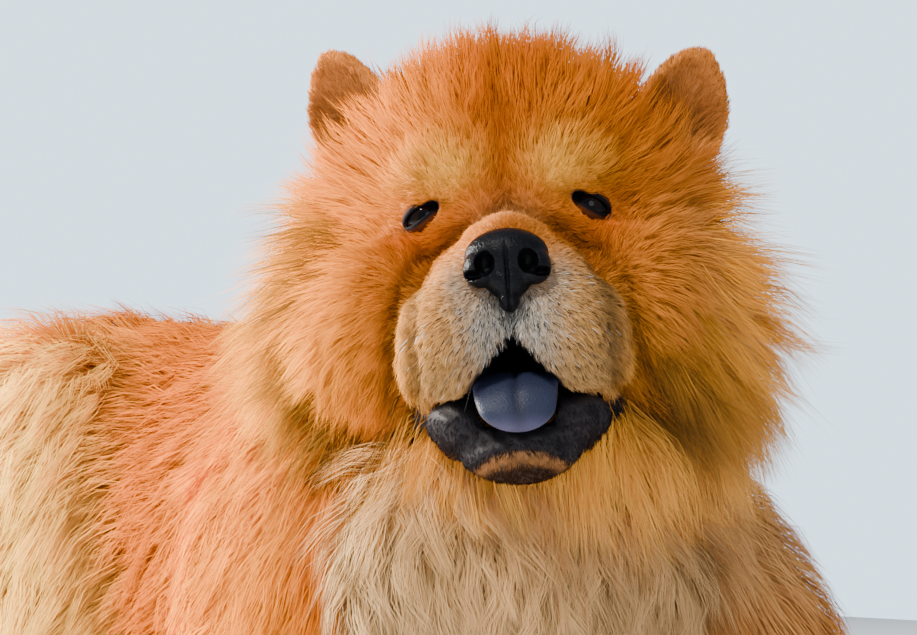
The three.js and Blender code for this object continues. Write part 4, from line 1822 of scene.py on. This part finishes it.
    def colours(
        self,
        part: CoatPart,
        tint: Array,
        root: Array,
        noise: Array,
        rng: np.random.Generator,
    ) -> Array:
        """Varies the colour from tuft to tuft, and from root to tip with painted shade at the roots and
        painted light towards the tips.

        Args:
            part: The piece to colour.
            tint: The skin's colour at each root.
            root: The roots.
            noise: Chance shared by clumps.
            rng: The seeded source of chance.

        Returns:
            A colour for each row of each tuft.
        """
        level = np.clip(1 + 0.14 * noise[4], 0.5, 1.5)
        local = HEAD.local(root)
        below_nose = np.exp(-(((local - (0, -8, -24)) / (27, 30, 18)) ** 2).sum(axis=1))
        chance = rng.random(len(root))
        dark = (chance < 0.36 * below_nose)[:, None]
        pale = (chance > 1 - 0.22 * below_nose)[:, None]
        row = np.round(local[:, 2] / 5.2)
        across = (np.abs(local[:, 0]) + 2.6 * (row % 2)) / 5.2
        gap = np.hypot((across - np.round(across)) * 5.2, local[:, 2] - row * 5.2)
        pad = Spot((31, -22, -38), (17, 40, 20), BLACK_SKIN).weight(local)
        tint = np.where(((gap < 0.9) & (pad > 0.3))[:, None], tint * 0.22, tint)
        tint = np.where(dark, BLACK_SKIN * 2.0, np.where(pale, colour(196, 193, 186), tint))
        # Painted shade: each tuft darker at the root, down among the hair. Painted light: brighter towards
        # the tip, in place of light shining through it.
        along = np.linspace(0, 1, part.rows + 1)
        shade = part.root_shade + (1.2 - part.root_shade) * along**0.8
        made = tint[:, None, :] * level[:, None, None] * shade[None, :, None]
        made[:, :, 2] *= (1 + 0.12 * along**2)[None, :]
        return np.clip(made, 0, 1)

    def weave(
        self,
        part: CoatPart,
        spine: Array,
        normal: Array,
        width: Array,
        colours: Array,
        bake: Array,
        rng: np.random.Generator,
    ) -> bpy.types.Object:
        """Makes one mesh of all the blades.

        Args:
            part: The piece to make.
            spine: Places along each tuft, from its root to its tip.
            normal: The skin's outward direction at each root.
            width: Each tuft's width.
            colours: A colour for each row of each tuft.
            bake: Each root's place on the bake map.
            rng: The seeded source of chance.

        Returns:
            The piece, dressed.
        """
        count, rows = len(spine), part.rows
        axis = unit(spine[:, -1] - spine[:, 0])
        across = unit(np.cross(axis, normal))
        face = np.cross(across, axis)
        roll = np.radians(rng.uniform(-42, 42, count))[:, None]
        flat = across * np.cos(roll) + face * np.sin(roll)
        face = unit(np.cross(flat, axis))
        edges, corner = [], []
        for number in range(rows):
            taper = 1 - (number / rows) ** 2.2
            half = flat * (width * taper / 2)[:, None]
            edges += [spine[:, number] - half, spine[:, number] + half]
            corner += [(-taper / 2, number / rows), (taper / 2, number / rows)]
        points = np.stack([*edges, spine[:, -1]], axis=1)
        points[:, :, 2] = np.maximum(points[:, :, 2], FLOOR_CLEARANCE)
        size = 2 * rows + 1
        shading = unit(0.9 * normal + 0.35 * face)
        normals = np.repeat(shading[:, None, :], size, axis=1)
        tints = colours[:, np.arange(size) // 2]
        loops = [v for k in range(rows - 1) for v in (2 * k, 2 * k + 1, 2 * k + 3, 2 * k + 2)]
        loops = np.array([*loops, size - 3, size - 2, size - 1])
        index = (np.arange(count)[:, None] * size + loops).ravel()
        starts = (np.arange(count)[:, None] * len(loops) + 4 * np.arange(rows)).ravel()
        mesh = bpy.data.meshes.new(part.name)
        mesh.vertices.add(count * size)
        mesh.loops.add(count * len(loops))
        mesh.polygons.add(count * rows)
        mesh.vertices.foreach_set("co", (points * MM).astype(np.float32).ravel())
        mesh.loops.foreach_set("vertex_index", index.astype(np.int32))
        mesh.polygons.foreach_set("loop_start", starts.astype(np.int32))
        mesh.update(calc_edges=True)
        place = bake[:, None, :] + (np.array([*corner, (0, 1)]) - (0, 0.5)) * self.patch
        layer = mesh.uv_layers.new(name=BAKE_MAP)
        layer.uv.foreach_set("vector", place[:, loops].astype(np.float32).ravel())
        piece = bpy.data.objects.new(part.name, mesh)
        bpy.context.scene.collection.objects.link(piece)
        tint_piece(piece, tints.reshape(-1, 3))
        mesh.normals_split_custom_set_from_vertices(normals.reshape(-1, 3).tolist())
        dress(piece, FUR)
        return piece


BARE = Hair(0, 0, 0, 0)
SLATE = colour(36, 40, 60)
LILAC = colour(82, 78, 106)


@dataclass
class Mouth:
    """The tongue, the back of the mouth and the moist black edge of the lower lip."""

    tongue_stations: tuple[tuple[float, ...], ...] = (
        (0, -84, -60, 17, 5, 5),
        (0, -54, -58, 21, 6, 6),
        (0, -32, -58, 21.5, 6.5, 6.5),
        (0, -15, -67, 21, 6.5, 6.5),
        (1, -7, -85, 17, 5.5, 5.5),
    )
    lip_stations: tuple[tuple[float, ...], ...] = (
        (-46, -84, -66, 2.6, 2.6, 2.6),
        (-38, -58, -74, 2.8, 2.6, 2.6),
        (-24, -38, -81, 2.8, 2.6, 2.8),
        (-10, -32.5, -84, 2.8, 2.4, 2.8),
        (0, -32, -85, 2.8, 2.2, 2.8),
        (10, -32.5, -84, 2.8, 2.4, 2.8),
        (24, -38, -81, 2.8, 2.6, 2.8),
        (38, -58, -74, 2.8, 2.6, 2.6),
        (46, -84, -66, 2.6, 2.6, 2.6),
    )
    palate_oval: Oval = ((0, -74, -58), (34, 10, 22))

    def tongue(self) -> bpy.types.Object:
        """Builds the tongue with its groove.

        Returns:
            The tongue.
        """
        stations = self.tongue_stations
        loft = Loft("tongue_flesh", Region.FACE, stations, (0, 0, 1), 0, BARE, None, 0.15)
        ball = add_ball("tongue_flesh", 56, 64)
        sphere = points_of(ball)
        local, out, _ = loft.shape(sphere)
        top = np.clip(sphere[:, 1], 0, 1)
        across = sphere[:, 0]
        share = np.arccos(np.clip(-sphere[:, 2], -1, 1)) / math.pi
        middle = ease(share, 0.1, 0.3) * (1 - ease(share, 0.9, 1))
        groove = np.exp(-((across / 0.09) ** 2)) * 2.0 * top * middle
        curl = np.abs(across) ** 4 * 2.2
        local = local - out * groove[:, None] + np.array([0, 0, 1.0]) * curl[:, None]
        place_points(ball, HEAD.world(local) * MM)
        face_out(ball)
        smooth(ball)
        rim = np.maximum(ease(np.abs(across), 0.7, 0.98), ease(share, 0.86, 0.98))[:, None]
        tint = SLATE * (1 - rim) + LILAC * rim
        # Painted shade along the tongue's middle groove.
        tint = tint * (1 - 0.35 * np.exp(-((across / 0.1) ** 2)))[:, None]
        # Painted shade: the tongue darker towards the back, inside the mouth.
        tint_piece(ball, tint * (0.35 + 0.65 * ease(local[:, 1], -50, -16))[:, None], 0.5)
        unwrap(ball)
        dress(ball, TONGUE_FLESH)
        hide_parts("tongue")
        return ball

    def palate(self) -> bpy.types.Object:
        """Builds the blue-black back of the mouth.

        Returns:
            The palate.
        """
        middle, half = self.palate_oval
        ball = add_oval("palate", HEAD.world(middle), half, HEAD.axes, 40)
        smooth(ball)
        tint_piece(ball, BLACK_SKIN, 0.3)
        unwrap(ball)
        dress(ball, LIP_LEATHER)
        return ball

    def lower_lip(self) -> bpy.types.Object:
        """Builds the moist edge of the lower lip.

        Returns:
            The lip.
        """
        loft = Loft("lower_lip", Region.FACE, self.lip_stations, (0, 0, 1), 0, BARE, None, 0.06)
        ball = add_ball("lower_lip", 28, 96)
        local, _, _ = loft.shape(points_of(ball))
        place_points(ball, HEAD.world(local) * MM)
        face_out(ball)
        smooth(ball)
        tint_piece(ball, BLACK_SKIN, 0.6)
        unwrap(ball)
        dress(ball, LIP_LEATHER)
        return ball


@dataclass
class Nose:
    """The broad, black nose with its nostrils and groove."""

    balls: tuple[Oval, ...] = (
        ((0, -9, 4), (21.5, 14, 14.5)),
        ((0, -7, -17.5), (5.5, 8.5, 7.5)),
        ((0, -7, -8), (12, 10.5, 10)),
    )
    wing: Oval = ((13.5, -4, -2.5), (9, 9, 9.5))
    nostril: Oval = ((11, 5, -0.5), (5.2, 10, 6.8))
    slit: Oval = ((17.5, 2, -6), (6, 7, 2.4))
    groove_depth: float = 1.6

    def build(self) -> bpy.types.Object:
        """Builds the nose.

        Returns:
            The nose.
        """
        parts = [add_oval("nose", HEAD.world(m), h, HEAD.axes, 48) for m, h in self.balls]
        (x, y, z), half = self.wing
        parts += [add_oval("nose", HEAD.world((side * x, y, z)), half, HEAD.axes, 40) for side in SIDES]
        nose = join(parts, "nose_leather")
        fuse(nose, 0.8, 3)
        for side in SIDES:
            for (x, y, z), half in (self.nostril, self.slit):
                carve(nose, add_oval("nostril", HEAD.world((side * x, y, z)), half, HEAD.axes, 32))
        fuse(nose, 0.6, 3)
        points, normals = points_of(nose) / MM, normals_of(nose)
        local = HEAD.local(points)
        line = np.exp(-((local[:, 0] / 1.1) ** 2))
        line = line * ease(-local[:, 2], -12, 0) * ease(local[:, 1], -10, -2)
        place_points(nose, (points - normals * (self.groove_depth * line)[:, None]) * MM)
        smooth(nose)
        across = np.abs(local[:, 0])
        # Painted shade: the leather darker along the middle groove and inside the nostrils.
        deep = ease(-local[:, 1], -2.5, 3) * ease(across, 5, 8) * (1 - ease(across, 15, 18))
        tint_piece(nose, BLACK_SKIN * (0.8 - 0.4 * line)[:, None] * (1 - 0.4 * deep)[:, None], 0.3)
        unwrap(nose)
        dress(nose, NOSE_LEATHER)
        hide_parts("nose")
        return nose


IRIS = colour(22, 12, 8)
EYE_RIM = colour(24, 18, 16)
PUPIL = colour(6, 5, 6)


@dataclass
class Eyes:
    """The deep-set dark eyes with their black lids."""

    radius: float = 11.0
    sunk: float = 12.5
    opening: tuple[float, float] = (9.2, 3.0)
    outer: tuple[float, float] = (15.0, 8.0)

    def eyeball(self, side: int) -> bpy.types.Object:
        """Builds one eyeball, looking at the viewer.

        Args:
            side: 1 for the dog's left and -1 for its right.

        Returns:
            The eyeball.
        """
        name = "eyeball_left" if side > 0 else "eyeball_right"
        middle = SKULL.eye(side, self.sunk)
        ball = add_oval(name, HEAD.world(middle), (self.radius,) * 3, HEAD.axes, 56)
        local = unit(HEAD.local(points_of(ball) / MM) - middle)
        gaze = unit(np.array([0.05 * side, 1.0, -0.02]))
        off = np.degrees(np.arccos(np.clip(local @ gaze, -1, 1)))
        iris, white = 1 - ease(off, 34, 42), ease(off, 42, 60)
        pupil = (1 - ease(off, 13, 17))[:, None]
        tint = IRIS * iris[:, None] + EYE_RIM * white[:, None]
        smooth(ball)
        tint_piece(ball, tint * (1 - pupil) + PUPIL * pupil, 0.5)
        unwrap(ball)
        dress(ball, EYE_GLASS)
        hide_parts("eye_left" if side > 0 else "eye_right")
        return ball

    def lids(self, side: int) -> bpy.types.Object:
        """Builds the ring of both lids round an almond-shaped opening.

        Args:
            side: 1 for the dog's left and -1 for its right.

        Returns:
            The lids.
        """
        deselect()
        bpy.ops.mesh.primitive_torus_add(
            major_segments=72, minor_segments=20, major_radius=2, minor_radius=1, location=(0, 0, 0)
        )
        ring = bpy.context.object
        ring.name = "lids_left" if side > 0 else "lids_right"
        shape = points_of(ring)
        turn = np.arctan2(shape[:, 1], shape[:, 0])
        outward = (np.hypot(shape[:, 0], shape[:, 1]) - 1) / 2
        above = shape[:, 2]
        sag = np.where(np.sin(turn) > 0, 0.9, 1.05)
        inner = np.stack([self.opening[0] * np.cos(turn), self.opening[1] * np.sin(turn) * sag], axis=1)
        outer = np.stack([self.outer[0] * np.cos(turn), self.outer[1] * np.sin(turn)], axis=1)
        flat = inner * (1 - outward[:, None]) + outer * outward[:, None]
        shell = self.radius + 0.9 + above * 0.9
        depth = np.sqrt(np.maximum(shell**2 - (flat**2).sum(axis=1), 4.0))
        axes = SKULL.eye_axes(side)
        local = SKULL.eye(side, self.sunk) + flat[:, :1] * axes[0] + depth[:, None] * axes[1]
        local = local + flat[:, 1:] * axes[2]
        place_points(ring, HEAD.world(local) * MM)
        face_out(ring)
        smooth(ring)
        edge = (1 - ease(outward, 0.3, 0.65))[:, None]
        tint_piece(ring, BLACK_SKIN * edge + DARK_BROWN * (1 - edge), 0.4)
        unwrap(ring)
        dress(ring, LID_SKIN)
        return ring


@dataclass
class Claws:
    """The blunt dark claws of all four feet."""

    radius: float = 3.4
    length: float = 10.5
    tip: float = 0.22
    curl: float = 2.0

    def build(self) -> bpy.types.Object:
        """Builds every claw as one piece.

        Returns:
            The claws.
        """
        made = []
        for paw in paws():
            way = unit(paw.way * 1.0 - UP * 0.55)
            for across, ahead in paw.toes():
                root = paw.place(across, ahead + paw.size * 0.40, paw.size * 0.3)
                deselect()
                bpy.ops.mesh.primitive_cone_add(vertices=18, radius1=1, radius2=self.tip, depth=1)
                cone = bpy.context.object
                deselect()
                cone.select_set(True)
                bpy.ops.object.mode_set(mode="EDIT")
                bpy.ops.mesh.select_all(action="SELECT")
                bpy.ops.mesh.subdivide(number_cuts=3)
                bpy.ops.object.mode_set(mode="OBJECT")
                shape = points_of(cone)
                t = shape[:, 2] + 0.5
                local = root + (way * (t * self.length)[:, None]) - UP * (t**2 * self.curl)[:, None]
                local = local + paw.side() * (shape[:, :1] * self.radius * 0.8)
                local = local + np.cross(paw.side(), way) * (shape[:, 1:2] * self.radius)
                local[:, 2] = np.maximum(local[:, 2], FLOOR_CLEARANCE)
                place_points(cone, local * MM)
                face_out(cone)
                made.append(cone)
        claws = join(made, "claws")
        smooth(claws)
        tint_piece(claws, colour(38, 30, 26))
        unwrap(claws)
        dress(claws, CLAW_HORN)
        return claws


@dataclass
class Whiskers:
    """Stiff dark hairs on the lips and above the eyes."""

    rows: int = 7
    on_lip: int = 9
    on_brow: int = 3
    lip_thick: float = 0.2
    brow_thick: float = 0.22

    def build(self, rng: np.random.Generator) -> bpy.types.Object:
        """Builds the whiskers as one piece.

        Args:
            rng: The seeded source of chance.

        Returns:
            The whiskers.
        """
        hairs = []
        for side in SIDES:
            for _ in range(self.on_lip):
                x = rng.uniform(16, 46)
                z = rng.uniform(-54, -24)
                root = np.array([side * x, SKULL.depth_at(side * x, z) - 2, z])
                spread = side * rng.uniform(0.3, 0.9)
                way = unit(np.array([spread, rng.uniform(0.15, 0.5), rng.uniform(-0.9, -0.2)]))
                hairs.append((root, way, rng.uniform(12, 24), self.lip_thick))
            for number in range(self.on_brow):
                x = side * (34 + 5 * number)
                root = np.array([x, SKULL.depth_at(x, 58) - 2, 58])
                way = unit(np.array([side * 0.2, 0.8, 0.9]))
                hairs.append((root, way, rng.uniform(9, 15), self.brow_thick))
        points, faces = [], []
        for root, way, length, thick in hairs:
            side_way = unit(np.cross(way, [0.2, 0.3, 0.9]))
            other = np.cross(way, side_way)
            first = len(points)
            for row in range(self.rows):
                t = row / self.rows
                middle = root + way * length * t + np.array([0, -0.1, -0.35]) * length * t**2
                for turn in (0, 2.094, 4.189):
                    offset = side_way * math.cos(turn) + other * math.sin(turn)
                    points.append(middle + offset * thick * (1 - t))
            points.append(root + way * length + np.array([0, -0.1, -0.35]) * length)
            for row in range(self.rows - 1):
                for k in range(3):
                    a, b = first + row * 3 + k, first + row * 3 + (k + 1) % 3
                    faces.append((a, b, b + 3, a + 3))
            last = first + (self.rows - 1) * 3
            faces += [(last + k, last + (k + 1) % 3, len(points) - 1) for k in range(3)]
            faces.append((first + 2, first + 1, first))
        mesh = bpy.data.meshes.new("whiskers")
        mesh.from_pydata((HEAD.world(np.array(points)) * MM).tolist(), [], faces)
        piece = bpy.data.objects.new("whiskers", mesh)
        bpy.context.scene.collection.objects.link(piece)
        face_out(piece)
        smooth(piece)
        tint_piece(piece, colour(40, 34, 32))
        unwrap(piece)
        dress(piece, WHISKER)
        return piece


@dataclass(frozen=True)
class Lamp:
    """A round light that looks at the dog: its name, place, width, watts and colour."""

    name: str
    place: Triple
    size: float
    power: float
    tone: Triple

    def hang(self, aim: Vector) -> None:
        """Adds the light.

        Args:
            aim: The point that it looks at, in metres.
        """
        data = bpy.data.lights.new(self.name, "AREA")
        data.shape = "DISK"
        data.size = self.size
        data.energy = self.power
        data.color = self.tone
        light = bpy.data.objects.new(self.name, data)
        light.location = self.place
        light.rotation_euler = (aim - light.location).to_track_quat("-Z", "Y").to_euler()
        bpy.context.scene.collection.objects.link(light)


@dataclass
class Studio:
    """The camera, floor and lights."""

    lens: float = 135.0
    eye: Triple = (-1.223, -1.738, 0.235)
    heading: tuple[float, float] = (0.616, 0.788)
    pitch: float = 2.2
    floor_width: float = 4.4
    floor_tone: tuple[float, ...] = (0.7, 0.74, 0.78, 1)
    sky_tone: tuple[float, ...] = (0.68, 0.82, 1.0, 1)
    sky_strength: float = 0.62
    backdrop_tone: tuple[float, ...] = (0.62, 0.83, 1.0, 1)
    backdrop_strength: float = 2.6
    aim: Triple = (-0.08, -0.25, 0.25)
    lamps: tuple[Lamp, ...] = (
        Lamp("key", (-1.9, -0.9, 2.6), 0.5, 105, (1.0, 0.96, 0.88)),
        Lamp("side", (-0.8, 0.75, 0.7), 0.4, 90, (1.0, 0.95, 0.84)),
        Lamp("fill", (-1.0, -2.8, 1.2), 1.4, 18, (1.0, 0.97, 0.92)),
        Lamp("rim", (1.6, 1.2, 1.9), 0.8, 50, (1.0, 0.94, 0.84)),
    )

    def build(self) -> None:
        """Sets up the camera, the floor and the lights."""
        self.camera()
        self.floor()
        self.lights()

    def camera(self) -> None:
        """Stands the camera where the picture was taken from."""
        tip = math.radians(self.pitch)
        flat = unit(np.array([*self.heading, 0.0]))
        way = flat * math.cos(tip) + UP * math.sin(tip)
        data = bpy.data.cameras.new("camera")
        data.lens = self.lens
        data.sensor_width = 36.0
        data.clip_start = 0.05
        data.clip_end = 200.0
        camera = bpy.data.objects.new("camera", data)
        camera.location = self.eye
        camera.rotation_euler = Vector(way).to_track_quat("-Z", "Y").to_euler()
        bpy.context.scene.collection.objects.link(camera)
        bpy.context.scene.camera = camera

    def floor(self) -> None:
        """Lays a wide pale floor."""
        deselect()
        bpy.ops.mesh.primitive_plane_add(size=self.floor_width, location=(0, 0, 0))
        floor = bpy.context.object
        floor.name = "floor"
        material = bpy.data.materials.new("floor")
        material.use_nodes = True
        shader = material.node_tree.nodes["Principled BSDF"]
        shader.inputs["Base Color"].default_value = self.floor_tone
        shader.inputs["Roughness"].default_value = 0.8
        floor.data.materials.append(material)

    def lights(self) -> None:
        """Hangs the lights under a soft pale sky, which the camera sees brighter."""
        world = bpy.data.worlds.new("sky")
        world.use_nodes = True
        nodes, links = world.node_tree.nodes, world.node_tree.links
        sky = nodes["Background"]
        sky.inputs["Color"].default_value = self.sky_tone
        sky.inputs["Strength"].default_value = self.sky_strength
        backdrop = nodes.new("ShaderNodeBackground")
        backdrop.inputs["Color"].default_value = self.backdrop_tone
        backdrop.inputs["Strength"].default_value = self.backdrop_strength
        path, mix = nodes.new("ShaderNodeLightPath"), nodes.new("ShaderNodeMixShader")
        links.new(path.outputs["Is Camera Ray"], mix.inputs["Fac"])
        links.new(sky.outputs["Background"], mix.inputs[1])
        links.new(backdrop.outputs["Background"], mix.inputs[2])
        links.new(mix.outputs["Shader"], nodes["World Output"].inputs["Surface"])
        bpy.context.scene.world = world
        for lamp in self.lamps:
            lamp.hang(Vector(self.aim))


PAIRED_FLESH = ("thigh", "hind_leg", "hind_paw", "upper_arm", "forearm", "fore_paw", "ear")
FLESH = (
    "torso",
    "head",
    "jaw",
    "neck",
    "chest",
    "tail",
    *(f"{part}_{side}" for part in PAIRED_FLESH for side in ("right", "left")),
)


def build_skin() -> bpy.types.Object:
    """Builds the one skin of body, head and jaw, with its bake map and markings.

    Returns:
        The skin.
    """
    body = Body().build()
    LOG.info("body skin: %d faces", len(body.data.polygons))
    head = Face().build()
    LOG.info("head skin: %d faces", len(head.data.polygons))
    skin = join([body, head, Jaw().build()], "skin")
    unwrap(skin)
    smooth(skin)
    dress(skin, SKIN)
    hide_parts(*FLESH)
    return skin


def main() -> None:
    """Builds every piece in order."""
    logging.basicConfig(level=logging.INFO, stream=sys.stdout, format="%(asctime)s %(message)s")
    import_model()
    rng = np.random.default_rng(SEED)
    skin = build_skin()
    coat = Coat(skin)
    LOG.info("skin: %d triangles", len(skin.data.loop_triangles))
    for part in COAT_PARTS:
        piece = coat.grow(part, rng)
        LOG.info("%s: %d tufts", piece.name, part.tufts)
    mouth, eyes = Mouth(), Eyes()
    made = [mouth.tongue(), mouth.palate(), mouth.lower_lip()]
    made += [Nose().build(), Claws().build(), Whiskers().build(rng)]
    for side in SIDES:
        made += [eyes.eyeball(side), eyes.lids(side)]
    for piece in made:
        LOG.info("%s: %d faces", piece.name, len(piece.data.polygons))
    Studio().build()


if __name__ == "__main__":
    main()
